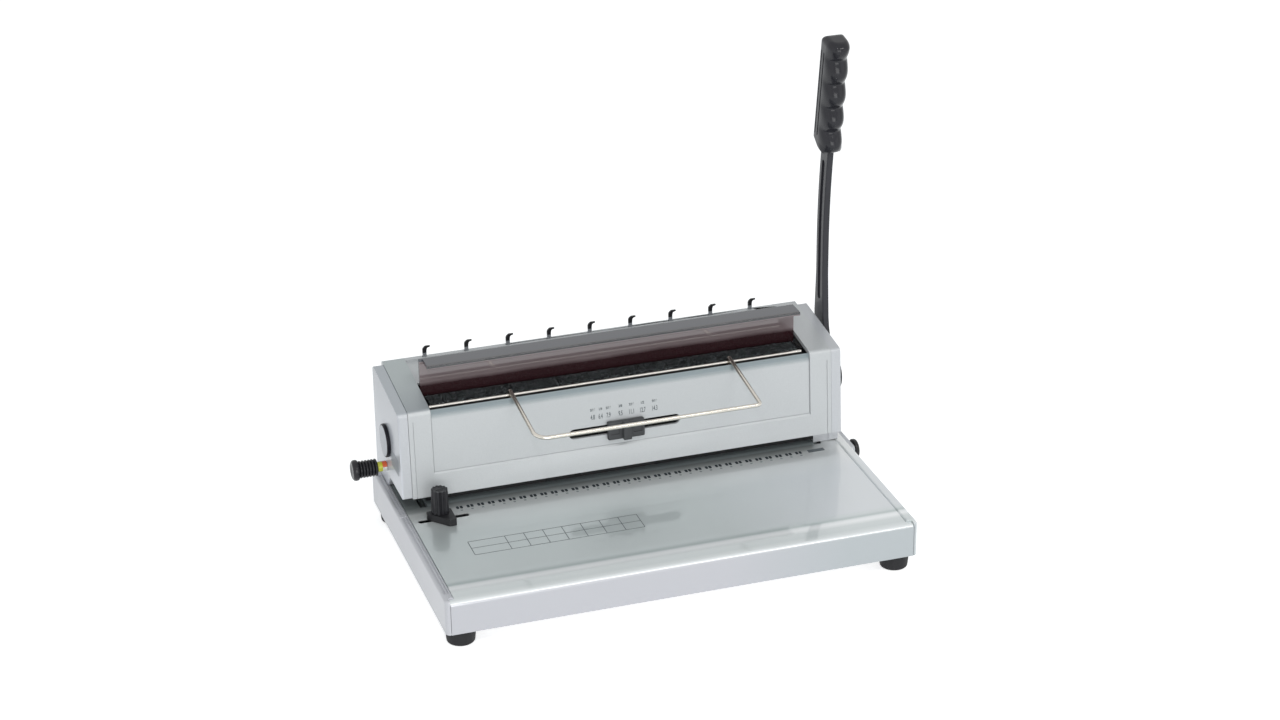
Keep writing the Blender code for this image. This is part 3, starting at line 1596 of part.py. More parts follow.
def chip_drawer():
    body = add_empty("drawer_axis", (half_width, drawer_knob_line, drawer_knob_level), root)
    rear = drawer_front + drawer_depth
    tray = boxes("chip_drawer", [(
        (drawer_left, drawer_front + clearance, drawer_bottom),
        (drawer_panel_inner + drawer_panel / 2, rear - clearance, drawer_top),
    )])
    panel = boxes("drawer_panel", [(
        (drawer_panel_inner, drawer_panel_front, foot_height + drawer_panel_drop),
        (drawer_panel_inner + drawer_panel, drawer_panel_front + drawer_panel_depth,
         plate_top - drawer_panel_drop),
    )], True)
    soften(panel, drawer_panel_edge)
    join(tray, panel, "panel")
    hollow = [(
        (drawer_left + drawer_wall, drawer_front + drawer_wall, drawer_bottom + drawer_wall),
        (drawer_panel_inner - drawer_wall, rear - drawer_wall, drawer_top + overrun),
    )]
    cut(tray, boxes("drawer_hollow", hollow, True), "hollow")
    settle(tray, "painted", body)
    length = drawer_knob_length
    radius = drawer_knob_radius
    profile = [
        (0, length),
        (radius * 0.7, length),
        (radius * 0.94, length * 0.88),
        (radius, length * 0.7),
        (radius, length * 0.45),
        (drawer_knob_neck, length * 0.3),
        (drawer_knob_neck, 0),
        (0, 0),
    ]
    place = (drawer_knob_inner, drawer_knob_line, drawer_knob_level)
    settle(turned("chip_drawer_knob", profile, place, to_right, 24), "black_plastic", body)


base_pieces()
housing()
punch_pieces()
ram_body()
frames()
handle_body()
shaft_plug()
closer_pieces()
wire_bail()
hook_strip()
selector()
edge_guide()
depth_control()
chip_drawer()
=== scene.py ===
import math

import bmesh
import bpy
from mathutils import Matrix, Vector, noise


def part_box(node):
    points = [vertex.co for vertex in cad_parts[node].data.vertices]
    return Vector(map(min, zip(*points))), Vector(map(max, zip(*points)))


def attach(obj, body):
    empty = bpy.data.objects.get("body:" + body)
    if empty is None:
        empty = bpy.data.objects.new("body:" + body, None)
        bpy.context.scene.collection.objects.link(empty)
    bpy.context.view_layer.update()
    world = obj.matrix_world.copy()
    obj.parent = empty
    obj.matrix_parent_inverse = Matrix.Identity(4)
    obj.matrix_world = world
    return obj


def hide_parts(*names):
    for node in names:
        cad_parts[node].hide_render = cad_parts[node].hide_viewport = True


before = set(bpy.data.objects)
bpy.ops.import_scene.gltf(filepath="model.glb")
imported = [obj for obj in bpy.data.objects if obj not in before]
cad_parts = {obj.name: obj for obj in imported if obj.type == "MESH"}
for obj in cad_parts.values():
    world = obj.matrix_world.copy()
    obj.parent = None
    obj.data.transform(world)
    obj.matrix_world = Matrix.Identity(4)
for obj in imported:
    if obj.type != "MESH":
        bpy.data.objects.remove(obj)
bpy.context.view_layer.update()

baseLow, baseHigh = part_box("base_cover")
middleX = (baseLow.x + baseHigh.x) / 2
frontY = baseLow.y
plateTop = baseHigh.z
seam = 0.0003  # between neighbouring pieces


def at(x, y, z):
    # x from the middle of the base, y from its front, z from the table
    return Vector((middleX + x, frontY + y, z))


# Modelling by hand, in steps

def takeUp(piece=None):
    # leaves edit mode and selects this piece alone
    if bpy.context.mode != "OBJECT":
        bpy.ops.object.mode_set(mode="OBJECT")
    bpy.ops.object.select_all(action="DESELECT")
    if piece:
        piece.select_set(True)
        bpy.context.view_layer.objects.active = piece


def setDown(piece):
    takeUp(piece)
    bpy.ops.object.transform_apply(location=True, rotation=True, scale=True)
    return piece


def addBlock(name, low, high):
    takeUp()
    size = [abs(b - a) for a, b in zip(low, high)]
    bpy.ops.mesh.primitive_cube_add(size=1, location=(low + high) / 2)
    piece = bpy.context.object
    piece.name = name
    piece.scale = size
    return setDown(piece)


def addRod(name, start, end, radius, sides=40):
    takeUp()
    along = end - start
    turn = along.to_track_quat("Z", "Y").to_euler()
    bpy.ops.mesh.primitive_cone_add(
        vertices=sides, radius1=radius, radius2=radius, depth=along.length,
        location=(start + end) / 2, rotation=turn,
    )
    piece = bpy.context.object
    piece.name = name
    return setDown(piece)


def pick(piece, kind, test):
    # edit mode, with what passes the test selected
    takeUp(piece)
    bpy.ops.object.mode_set(mode="EDIT")
    bpy.ops.mesh.select_mode(type=kind)
    bpy.ops.mesh.select_all(action="DESELECT")
    cage = bmesh.from_edit_mesh(piece.data)
    items = {"VERT": cage.verts, "EDGE": cage.edges, "FACE": cage.faces}[kind]
    for item in items:
        if test(item):
            item.select_set(True)
    cage.select_flush_mode()
    bmesh.update_edit_mesh(piece.data)


def centre(edge):
    return (edge.verts[0].co + edge.verts[1].co) / 2


def runsAlong(edge, axis):
    span = edge.verts[1].co - edge.verts[0].co
    return abs(span[axis]) > 0.999 * span.length


def roundEdges(piece, test, width, steps=4):
    pick(piece, "EDGE", test)
    bpy.ops.mesh.bevel(offset=width, segments=steps, affect="EDGES", clamp_overlap=True)
    takeUp(piece)


def addLine(piece, point, normal):
    # a new ring of edges where this plane crosses the piece
    pick(piece, "FACE", lambda face: True)
    bpy.ops.mesh.bisect(plane_co=point, plane_no=normal)
    takeUp(piece)


def shift(piece, test, move):
    pick(piece, "VERT", test)
    bpy.ops.transform.translate(value=move)
    takeUp(piece)


def useModifier(piece, kind, **values):
    takeUp(piece)
    step = piece.modifiers.new(kind.lower(), kind)
    for key, value in values.items():
        setattr(step, key, value)
    bpy.ops.object.modifier_apply(modifier=step.name)


def faceOutwards(piece, merge=None):
    # points that lie together become one, and every face points outwards
    pick(piece, "VERT", lambda vert: True)
    if merge:
        bpy.ops.mesh.remove_doubles(threshold=merge)
    bpy.ops.mesh.normals_make_consistent(inside=False)
    takeUp(piece)
    return piece


def combine(piece, operation, others):
    for other in others:
        useModifier(piece, "BOOLEAN", object=other, operation=operation, solver="EXACT")
        bpy.data.objects.remove(other)


def cutAway(piece, *tools):
    combine(piece, "DIFFERENCE", tools)


def joinOn(piece, *extras):
    combine(piece, "UNION", extras)


def softenEdges(piece, width, steps=2, angle=35):
    useModifier(
        piece, "BEVEL", width=width, segments=steps, limit_method="ANGLE",
        angle_limit=math.radians(angle), harden_normals=False, miter_outer="MITER_ARC",
    )


def copyOf(piece, name, move=(0, 0, 0), mirror=False):
    # a second piece with its own mesh, moved or mirrored about the base's middle
    other = piece.copy()
    other.data = piece.data.copy()
    other.name = name
    bpy.context.collection.objects.link(other)
    if mirror:
        other.data.transform(Matrix.Translation((2 * middleX, 0, 0)) @ Matrix.Scale(-1, 4, (1, 0, 0)))
        faceOutwards(other)
    other.data.transform(Matrix.Translation(move))
    return other


def placed(name, data):
    thing = bpy.data.objects.new(name, data)
    bpy.context.collection.objects.link(thing)
    return thing


def drawn(name, curve, points, closed=False):
    # a curve along these points, made a mesh
    line = curve.splines.new("POLY")
    line.points.add(len(points) - 1)
    for point, corner in zip(line.points, points):
        point.co = (*corner, 1)
    line.use_cyclic_u = closed
    takeUp(placed(name, curve))
    bpy.ops.object.convert(target="MESH")
    return bpy.context.object


def outlined(name, corners, depth, turn, place):
    # a flat outline pulled to a thickness
    curve = bpy.data.curves.new(name, "CURVE")
    curve.dimensions = "2D"
    curve.fill_mode = "BOTH"
    curve.extrude = depth / 2
    piece = drawn(name, curve, [(u, v, 0) for u, v in corners], closed=True)
    piece.matrix_world = Matrix.Translation(place) @ turn
    return faceOutwards(setDown(piece), 0.00001)


def wire(name, points, radius, sides):
    curve = bpy.data.curves.new(name, "CURVE")
    curve.dimensions = "3D"
    curve.bevel_depth = radius
    curve.bevel_resolution = sides
    curve.use_fill_caps = True
    return faceOutwards(drawn(name, curve, points), 0.000005)


def modelled(name, shape):
    # a piece with this mesh
    takeUp()
    bpy.ops.mesh.primitive_circle_add(vertices=3, radius=0.001)
    piece = bpy.context.object
    piece.name = name
    shape.to_mesh(piece.data)
    shape.free()
    return piece


def turned(name, profile, place, axis, steps=48):
    # a profile of (radius, height) points spun about an axis through the place
    shape = bmesh.new()
    points = [shape.verts.new((radius, 0, height)) for radius, height in profile]
    for first, second in zip(points, points[1:]):
        shape.edges.new((first, second))
    piece = modelled(name, shape)
    pick(piece, "VERT", lambda vert: True)
    bpy.ops.mesh.spin(steps=steps, angle=math.tau, center=(0, 0, 0), axis=(0, 0, 1))
    faceOutwards(piece, 0.00001)
    turn = Vector(axis).to_track_quat("Z", "Y").to_matrix().to_4x4()
    piece.matrix_world = Matrix.Translation(place) @ turn
    return setDown(piece)


def fit(piece, body, finish, slot, *nodes, angle=35):
    # smooth shading, finish and body of a new piece
    takeUp(piece)
    bpy.ops.object.shade_smooth_by_angle(angle=math.radians(angle))
    useModifier(piece, "WEIGHTED_NORMAL", keep_sharp=True, weight=80)
    piece.data.materials.clear()
    piece.data.materials.append(finish)
    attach(piece, body)
    if nodes:
        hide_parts(*nodes)
    return piece


# Finishes

class Value:
    # a socket that can be used in sums
    def __init__(self, finish, socket):
        self.finish = finish
        self.socket = socket

    def maths(self, operation, first, second=0.0):
        return self.finish.maths(operation, first, second)

    def __add__(self, other):
        return self.maths("ADD", self, other)

    __radd__ = __add__

    def __sub__(self, other):
        return self.maths("SUBTRACT", self, other)

    def __rsub__(self, other):
        return self.maths("SUBTRACT", other, self)

    def __mul__(self, other):
        return self.maths("MULTIPLY", self, other)

    def __truediv__(self, other):
        return self.maths("DIVIDE", self, other)

    def over(self, edge):
        return self.maths("GREATER_THAN", self, edge)

    def size(self):
        return self.maths("ABSOLUTE", self)

    def within(self, half):
        return self.maths("LESS_THAN", self.size(), half)

    def most(self, other):
        return self.maths("MAXIMUM", self, other)


class Finish:
    def __init__(self, name):
        self.material = bpy.data.materials.new(name)
        self.material.use_nodes = True
        self.tree = self.material.node_tree
        self.shader = self.tree.nodes["Principled BSDF"]

    def add(self, kind, settings=None, sockets=None, output=0):
        node = self.tree.nodes.new(kind)
        for key, value in (settings or {}).items():
            setattr(node, key, value)
        self.feed(node, sockets or {})
        return Value(self, node.outputs[output])

    def feed(self, node, sockets):
        for key, value in sockets.items():
            if isinstance(value, Value):
                self.tree.links.new(value.socket, node.inputs[key])
            else:
                node.inputs[key].default_value = value

    def objectPlace(self):
        # the point of the surface, whole and as X, Y and Z
        spot = self.add("ShaderNodeTexCoord", output="Object")
        parts = self.add("ShaderNodeSeparateXYZ", None, {0: spot}).socket.node.outputs
        return spot, [Value(self, part) for part in parts]

    def grain(self, scale, detail=2.0, roughness=0.5, spot=None):
        spot = spot or self.objectPlace()[0]
        sockets = {"Vector": spot, "Scale": scale, "Detail": detail, "Roughness": roughness}
        return self.add("ShaderNodeTexNoise", None, sockets, "Fac")

    def maths(self, operation, first, second=0.0):
        return self.add("ShaderNodeMath", {"operation": operation}, {0: first, 1: second})

    def ramp(self, value, *stops):
        made = self.add("ShaderNodeValToRGB", None, {0: value})
        places = made.socket.node.color_ramp.elements
        for i, (position, level) in enumerate(stops):
            stop = places[i] if i < 2 else places.new(position)
            stop.position = position
            stop.color = (level, level, level, 1)
        return made

    def mix(self, factor, first, second):
        sockets = {0: factor, 6: colour(first), 7: colour(second)}
        return self.add("ShaderNodeMix", {"data_type": "RGBA"}, sockets, 2)

    def set(self, **sockets):
        self.feed(self.shader, {socketNames.get(key, key): value for key, value in sockets.items()})

    def bump(self, height, strength, distance):
        # the last step, gives the whole material
        sockets = {"Height": height, "Strength": strength, "Distance": distance}
        self.set(Normal=self.add("ShaderNodeBump", None, sockets))
        return self.material


socketNames = {
    "colour": "Base Color", "roughness": "Roughness", "metallic": "Metallic",
    "coat": "Coat Weight", "coatRoughness": "Coat Roughness", "coatIor": "Coat IOR",
    "ior": "IOR", "shine": "Specular IOR Level",
}


def colour(value):
    return value if isinstance(value, Value) else (*value, 1)


def paintedFinish(name, base, speck=0.05, rough=0.4, coat=0.15, shading=None):
    # silver lacquer: fine flakes, faint clouds and a thin clear coat
    finish = Finish(name)
    flakes = finish.grain(2600, 1)
    clouds = finish.grain(14, 3)
    tone = finish.ramp(flakes, (0.35, 0.0), (0.65, 1.0))
    light = [min(1, c * (1 + speck)) for c in base]
    dark = [c * (1 - speck) for c in base]
    paint = finish.mix(tone, dark, light)
    paint = finish.mix(clouds * 0.10, paint, [c * 0.9 for c in base])
    if shading:
        paint = shading(finish, paint)
    finish.set(colour=paint, roughness=rough - 0.08 + clouds * 0.14, metallic=0.12, coat=coat)
    finish.set(coatRoughness=0.12)
    return finish.bump(flakes, 0.08, 0.00005)


def plasticFinish(name, base, rough=0.35, grainScale=1800, grainBump=0.15, coat=0.0, shine=0.28):
    # moulded plastic: fine texture, rubbed a little smoother in clouds
    finish = Finish(name)
    fine = finish.grain(grainScale, 2)
    clouds = finish.grain(40, 3)
    shade = finish.mix(clouds, [c * 0.8 for c in base], [min(1, c * 1.25) for c in base])
    finish.set(colour=shade, roughness=rough - 0.07 + clouds * 0.14, coat=coat, coatRoughness=0.08)
    finish.set(shine=shine)
    return finish.bump(fine, grainBump, 0.00006)


def metalFinish(name, base, rough, stretch, scale):
    # bare metal with drawn lines along one way and faint stains
    finish = Finish(name)
    spot = finish.objectPlace()[0]
    stretched = finish.add("ShaderNodeMapping", None, {"Vector": spot, "Scale": stretch})
    lines = finish.grain(scale, 3, 0.6, stretched)
    stains = finish.grain(35, 3)
    shade = finish.mix(stains * 0.5, base, [c * 0.72 for c in base])
    finish.set(colour=shade, roughness=rough - 0.06 + lines * 0.12, metallic=1.0)
    return finish.bump(lines, 0.06, 0.00004)


lacquer = {
    "housing": (0.530, 0.548, 0.560),
    "caps": (0.530, 0.545, 0.570),
    "rail": (0.555, 0.560, 0.595),
    "drawer": (0.540, 0.555, 0.585),
}
capPaint = paintedFinish("capPaint", lacquer["caps"], rough=0.36, coat=0.25)
# painted shade: the side frames stand in the throat and are painted dark to match the shade round them
frameShadePaint = paintedFinish("frameShadePaint", (0.24, 0.27, 0.275), rough=0.4)
railPaint = paintedFinish("railPaint", lacquer["rail"], rough=0.36, coat=0.25)
drawerPaint = paintedFinish("drawerPaint", lacquer["drawer"], rough=0.38, coat=0.2)
blackPlastic = plasticFinish("blackPlastic", (0.016, 0.016, 0.018))
knobPlastic = plasticFinish("knobPlastic", (0.019, 0.019, 0.022), 0.24, 1400, 0.12)
gripPlastic = plasticFinish("gripPlastic", (0.022, 0.022, 0.027), 0.15, 1500, 0.03, 0.0, 0.26)
armPaint = plasticFinish("armPaint", (0.030, 0.030, 0.036), 0.36, 900, 0.25)
rubber = plasticFinish("rubber", (0.018, 0.018, 0.020), 0.62, 1100, 0.4)
darkSteel = plasticFinish("darkSteel", (0.012, 0.012, 0.013), 0.28, 1000, 0.1)
wireSteel = metalFinish("wireSteel", (0.66, 0.63, 0.57), 0.2, (0.02, 1, 1), 1500)
rodSteel = metalFinish("rodSteel", (0.70, 0.68, 0.64), 0.18, (0.02, 1, 1), 1500)
plainSteel = metalFinish("plainSteel", (0.52, 0.52, 0.53), 0.34, (0.05, 1, 1), 700)
springSteel = metalFinish("springSteel", (0.45, 0.45, 0.46), 0.28, (1, 1, 1), 900)
bronze = metalFinish("bronze", (0.50, 0.34, 0.16), 0.36, (1, 1, 0.1), 800)
zinc = metalFinish("zinc", (0.60, 0.61, 0.62), 0.3, (1, 1, 1), 500)
print("finishes ready")

# Base: a sheet plate with a skirt, between two side mouldings

base = {
    "foot": 0.013,
    "depth": 0.228,
    "sheet": 0.0015,
    "plateHalf": 0.1779,
    "noseDepth": 0.006,
    "fallRun": 0.0250,  # the plate falls gently to its front edge
    "fall": 0.0012,
    "fallRound": 0.012,
    "bandEnd": 0.0350,  # painted reflections: light and dark bands run along the front as far back as this
    "frontRound": 0.0034,
    "openingHalf": 0.1660,
    "openingFront": 0.1507,
    "openingRear": 0.2263,
    "slotLeft": -0.1734,
    "slotRight": -0.1332,
    "slotLine": 0.128,
    "slotHalf": 0.0027,
    "edge": 0.00015,
    "stripStart": 0.1400,  # from here back a painted shade darkens the plate into the throat
    "stripEnd": 0.1510,
}
tiny = 0.00005  # faces and edges are found within this
past = 0.003  # how far a tool passes a face


plateTones = {
    "flakes": ((0.540, 0.590, 0.590), (0.580, 0.625, 0.624)),
    "cloud": (0.50, 0.54, 0.55),
    "right": (0.74, 0.76, 0.80),  # painted light: lighter towards the right end
    "rightStops": ((0.60, 0.0), (0.86, 1.0)),
    "rightShare": 0.62,
    "bands": ((0.41, 0.48, 0.48), (0.88, 0.90, 0.91)),  # painted reflections of the rolled front: dark and light
    "bandStops": (
        (0.06, 0.75), (0.24, 0.42), (0.42, 0.50), (0.56, 1.0), (0.64, 0.85), (0.72, 0.12), (0.84, 0.40),
    ),
    "bandFade": ((0.74, 1.0), (0.98, 0.0)),
    "skirt": ((0.475, 0.480, 0.515), (0.410, 0.445, 0.465)),  # painted shade on the front skirt: its left and right end
    "skirtStops": ((0.05, 1.0), (0.40, 0.0)),
    # painted light: the plate turns paler just in front of the shaded strip
    "rear": (0.74, 0.76, 0.76),
    "rearStops": ((0.68, 0.0), (0.93, 1.0)),
    # painted shade in the strip that runs under the tower
    "throat": (0.018, 0.040, 0.044),
    "throatStops": ((base["stripStart"] / base["stripEnd"], 0.0), (0.950, 0.46), (1.0, 0.76)),
    "throatEnd": ((0.88, 0.0), (0.97, 1.0)),  # the painted shade fades out at the right
}


def plateFinish():
    # silver flake under a thick clear coat, with painted light and shade: reflections along the front, a
    # lighter right end, a darker skirt, a paler band in front of the tower and shade in the strip that
    # runs under it
    finish = Finish("platePaint")
    tones = plateTones
    spot, (x, y, _) = finish.objectPlace()
    flakes = finish.grain(2400, 1, spot=spot)
    clouds = finish.grain(9, 3, spot=spot)
    across = (x - middleX) / base["plateHalf"]
    tone = finish.mix(flakes, *tones["flakes"])
    tone = finish.mix(clouds * 0.12, tone, tones["cloud"])
    # painted light, lighter towards the right end
    side = finish.ramp(across * 0.5 + 0.5, *tones["rightStops"])
    tone = finish.mix(side * tones["rightShare"], tone, tones["right"])
    # painted reflections of the rolled front, in light and dark bands
    ahead = (y - frontY) / base["bandEnd"]
    bands = finish.mix(finish.ramp(ahead, *tones["bandStops"]), *tones["bands"])
    tone = finish.mix(finish.ramp(ahead, *tones["bandFade"]), tone, bands)
    # painted shade on the front skirt, darker at its right end
    skirt = finish.ramp((y - frontY) / base["frontRound"], *tones["skirtStops"])
    tone = finish.mix(skirt, tone, finish.mix(side, *tones["skirt"]))
    back = (y - frontY) / base["stripEnd"]
    # painted light, paler just in front of the shaded strip
    tone = finish.mix(finish.ramp(back, *tones["rearStops"]), tone, tones["rear"])
    # painted shade in the strip under the tower, fading out at the right
    strip = finish.ramp(back, *tones["throatStops"]) * (1 - finish.ramp(across, *tones["throatEnd"]))
    paint = finish.mix(strip, tone, tones["throat"])
    finish.set(colour=paint, roughness=0.32, metallic=0.35 - strip * 0.35, coat=1.0 - strip * 0.6)
    finish.set(coatRoughness=0.03, coatIor=1.6)
    return finish.bump(flakes, 0.04, 0.00004)


platePaint = plateFinish()


def makeBasePlate():
    low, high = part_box("base_cover")
    skin = addBlock("base_plate_skin", low, high)
    addLine(skin, at(0, base["fallRun"], 0), (0, 1, 0))
    shift(
        skin, lambda vert: vert.co.y < low.y + tiny and vert.co.z > high.z - tiny,
        (0, 0, -base["fall"]),
    )
    fold = frontY + base["fallRun"]
    roundEdges(
        skin, lambda edge: abs(centre(edge).y - fold) < tiny and centre(edge).z > high.z - tiny
        and runsAlong(edge, 0), base["fallRound"], 6,
    )
    front = high.z - base["fall"]
    roundEdges(
        skin, lambda edge: centre(edge).y < low.y + tiny and abs(centre(edge).z - front) < tiny
        and runsAlong(edge, 0), base["frontRound"], 7,
    )
    pick(skin, "FACE", lambda face: face.normal.z < -0.99)
    bpy.ops.mesh.delete(type="FACE")
    useModifier(skin, "SOLIDIFY", thickness=base["sheet"], offset=-1)
    top = high.z + past
    sides = [
        addBlock(
            "side", at(side * base["plateHalf"], base["noseDepth"], base["foot"] - past),
            at(side * (base["plateHalf"] + 0.02), base["depth"] + past, top),
        ) for side in (-1, 1)
    ]
    opening = addBlock(
        "opening", at(-base["openingHalf"], base["openingFront"], high.z - 2 * past),
        at(base["openingHalf"], base["openingRear"], top),
    )
    slot = addBlock(
        "slot", at(base["slotLeft"], base["slotLine"] - base["slotHalf"], high.z - 2 * past),
        at(base["slotRight"], base["slotLine"] + base["slotHalf"], top),
    )
    roundEdges(slot, lambda edge: runsAlong(edge, 2), base["slotHalf"] * 0.8, 4)
    cutAway(skin, *sides, opening, slot)
    softenEdges(skin, base["edge"])
    fit(skin, "machine", platePaint, "gloss_silver", "base_cover")


rail = {
    "noseWidth": 0.0036,
    "cornerRound": 0.0040,
    "topRound": 0.0018,
    "wall": 0.0025,
    "grooves": ((0.0018, 0.0020), (0.0050, 0.0011)),  # distance from the outer side and width
    "grooveDepth": 0.0009,
    "grooveEnd": 0.014,
    "bridgeFront": 0.1395,  # where the grooves stop beside the tower's front
    "bridgeRear": 0.1430,
    "edge": 0.00015,
    "windowDepth": 0.03,  # the drawer's opening in the right one
    "windowFront": 0.1462,
    "windowRear": 0.1858,
    "windowRise": 0.0017,
    "windowTop": 0.0348,
}


def makeRails():
    low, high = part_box("left_side_rail")
    piece = addBlock("left_rail_moulding", low, high)
    outer = low.x
    corner = rail["cornerRound"]
    roundEdges(piece, lambda edge: centre(edge).x < outer + tiny and runsAlong(edge, 2), corner, 6)
    roundEdges(piece, lambda edge: centre(edge).z > high.z - tiny, rail["topRound"], 4)
    wall, nose = rail["wall"], low.y + base["noseDepth"]
    seat = addBlock(
        "seat", Vector((outer + rail["noseWidth"], low.y - past, low.z - past)),
        Vector((high.x + past, nose + seam / 2, high.z + past)),
    )
    hollow = addBlock(
        "hollow", Vector((outer + wall, nose + wall, low.z - past)),
        Vector((high.x + past, high.y - wall, high.z - wall)),
    )
    grooves = []
    for inset, width in rail["grooves"]:
        start = outer + inset
        for front, rear in (
            (base["noseDepth"] + rail["grooveEnd"] / 2, rail["bridgeFront"]),
            (rail["bridgeRear"], base["depth"] - rail["grooveEnd"]),
        ):
            grooves.append(addBlock(
                "groove", Vector((start, frontY + front, high.z - rail["grooveDepth"])),
                Vector((start + width, frontY + rear, high.z + past)),
            ))
    cutAway(piece, seat, hollow)
    other = copyOf(piece, "right_rail_moulding", mirror=True)
    cutAway(piece, *grooves)
    drawerLow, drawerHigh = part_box("chip_drawer")
    foot = drawerLow.z + rail["windowRise"]
    start = Vector((drawerHigh.x - rail["windowDepth"], frontY + rail["windowFront"], foot))
    end = Vector((drawerHigh.x + past, frontY + rail["windowRear"], rail["windowTop"]))
    cutAway(other, addBlock("window", start, end))
    # the right one is as glossy as the plate
    for item, paint, node in (
        (piece, railPaint, "left_side_rail"), (other, platePaint, "right_side_rail"),
    ):
        softenEdges(item, rail["edge"], 2, 60)
        fit(item, "machine", paint, "silver_plastic", node)


makeBasePlate()
makeRails()
print("base ready")

# Tower: one folded housing, open at the foot, with two moulded end caps

tower = {
    "front": 0.1458,
    "foot": 0.0511,  # the throat is open under this
    "lean": 0.0048,
    "frontTop": 0.1222,
    "rear": 0.2330,
    "rearTop": 0.1312,
    "rearFoot": 0.0413,
    "half": 0.1723,
    "wall": 0.0032,
    "frontRound": 0.0042,
    "rearRound": 0.0032,
    "panelHalf": 0.1545,
    "panelDepth": 0.0012,
    "panelLine": (0.0006, 0.0007),  # width and depth of the line round the panel
    "panelLineTop": 0.1215,
    "footLine": (0.00048, 0.00049),
    "sideLine": 0.1688,
    "sideLineTop": 0.1140,
    "panelFoot": 0.0690,
    "panelTop": 0.1166,
    "troughFront": 0.1550,
    "troughRear": 0.1936,
    "troughFloor": 0.1010,
    "deckDepth": 0.0016,
    "deckRear": 0.2265,
    "edge": 0.0003,
}
cap = {
    "foot": 0.0507,
    "leftFoot": 0.0522,
    "start": 0.17255,
    "side": 0.1805,
    "frontInset": 0.0003,
    "rear": 0.2292,
    "topInset": 0.0005,
    "frontRound": 0.0036,
    "rearRound": 0.0045,
    "edge": 0.0020,
    "innerEdge": 0.0005,
    "closed": 0.1530,  # the right cap shuts the throat from here back
    "lip": 0.0009,
    "lipGap": 0.0004,
    "lipReach": 0.0012,  # how far the lip goes into the cap
    "throatStart": 0.1848,
    "throatEnd": 0.1943,
    "shaftHole": 0.0082,
    "rodHole": 0.0033,
}
shaftLine, shaftLevel = 0.1900, 0.0825
depthLine, depthLevel = 0.1950, 0.0580
sideTurn = Matrix(((0, 0, 1, 0), (1, 0, 0, 0), (0, 1, 0, 0), (0, 0, 0, 1)))  # outlines in Y and Z
frontTurn = Matrix(((1, 0, 0, 0), (0, 0, -1, 0), (0, 1, 0, 0), (0, 0, 0, 1)))  # outlines in X and Z
flat = Matrix.Identity(4)  # outlines in X and Y
frontLean = math.atan2(tower["lean"], tower["frontTop"] - tower["foot"])


def onShaft(x):
    return at(x, shaftLine, shaftLevel)


def onDepthRod(x):
    return at(x, depthLine, depthLevel)


def faceLine(level):
    share = (level - tower["foot"]) / (tower["frontTop"] - tower["foot"])
    return tower["front"] + tower["lean"] * share


def topLevel(line):
    start = tower["front"] + tower["lean"]
    share = (line - start) / (tower["rear"] - start)
    return tower["frontTop"] + (tower["rearTop"] - tower["frontTop"]) * share


def quarter(steps, first=0):
    # sine and cosine in even steps through a right angle
    turns = [math.pi / 2 * i / steps for i in range(first, steps + 1)]
    return [(math.sin(turn), math.cos(turn)) for turn in turns]


def rounded(corners, steps=5):
    # points of an outline whose corners carry their own radius
    points = []
    count = len(corners)
    for i, (u, v, radius) in enumerate(corners):
        here = Vector((u, v))
        if not radius:
            points.append((u, v))
            continue
        back = (Vector(corners[i - 1][:2]) - here).normalized()
        ahead = (Vector(corners[(i + 1) % count][:2]) - here).normalized()
        half = back.angle(ahead) / 2
        hub = here + (back + ahead).normalized() * radius / math.sin(half)
        reach = radius / math.tan(half)
        first = here + back * reach - hub
        sweep = first.angle_signed(here + ahead * reach - hub)
        for j in range(steps + 1):
            spoke = first.copy()
            spoke.rotate(Matrix.Rotation(-sweep * j / steps, 2))
            points.append(tuple(hub + spoke))
    return points


def rectangle(left, low, right, high, radius=0, steps=5):
    corners = ((left, low), (right, low), (right, high), (left, high))
    return rounded([(*corner, radius) for corner in corners], steps)


towerTones = {
    "upper": (0.21, 0.26, 0.28),  # painted shade, deeper under the front rod, where the panel leans back
    "upperStart": 0.1,
    "upperRun": 0.03,
    "upperStops": ((0.46, 0.0), (0.60, 1.0)),
    "upperRear": 0.160,
    "leftTop": ((0.315, 0.345, 0.365), (0.440, 0.485, 0.490)),  # painted shade on the left end's slope, front and rear
    "leftTopRun": 0.07,
    "leftTopStops": ((0.1, 0.0), (0.8, 1.0)),
    "capSide": ((0.66, 0.68, 0.73), (0.42, 0.44, 0.475)),  # painted light and shade on the left cap's side: foot and top
    "capSideEdge": 0.002,
    "capSideStops": ((0.1, 1.0), (0.95, 0.0)),
    "capHeight": 0.08,
    "capHeightStops": ((0.05, 0.0), (0.95, 1.0)),
    # painted shade on the left cap's slope
    "capTop": (0.43, 0.46, 0.49),
    "slopeRun": 0.002,
    "slopeStops": ((0.1, 1.0), (0.6, 0.0)),
}


def housingShading(finish, paint):
    tones = towerTones
    x, y, z = finish.objectPlace()[1]
    # painted shade under the front rod, on the upper panel
    upper = finish.ramp((z - tones["upperStart"]) / tones["upperRun"], *tones["upperStops"])
    panel = (x - middleX).within(tower["panelHalf"]) * (tones["upperRear"] + frontY - y).over(0)
    paint = finish.mix(upper * panel * 0.9, paint, tones["upper"])
    # painted shade on the left end's sloping top, lighter towards the rear
    top = slopeMask(finish, y, z, 0) * (middleX - tower["panelHalf"] - x).over(0)
    back = finish.ramp((y - frontY - tower["front"]) / tones["leftTopRun"], *tones["leftTopStops"])
    return finish.mix(top, paint, finish.mix(back, *tones["leftTop"]))


def slopeMask(finish, y, z, inset):
    # 1 on the tower's sloping top, 0 a little under it
    slope = (tower["rearTop"] - tower["frontTop"]) / (tower["rear"] - tower["front"] - tower["lean"])
    crest = tower["frontTop"] - inset - (frontY + tower["front"] + tower["lean"]) * slope
    return finish.ramp((y * slope + crest - z) / towerTones["slopeRun"], *towerTones["slopeStops"])


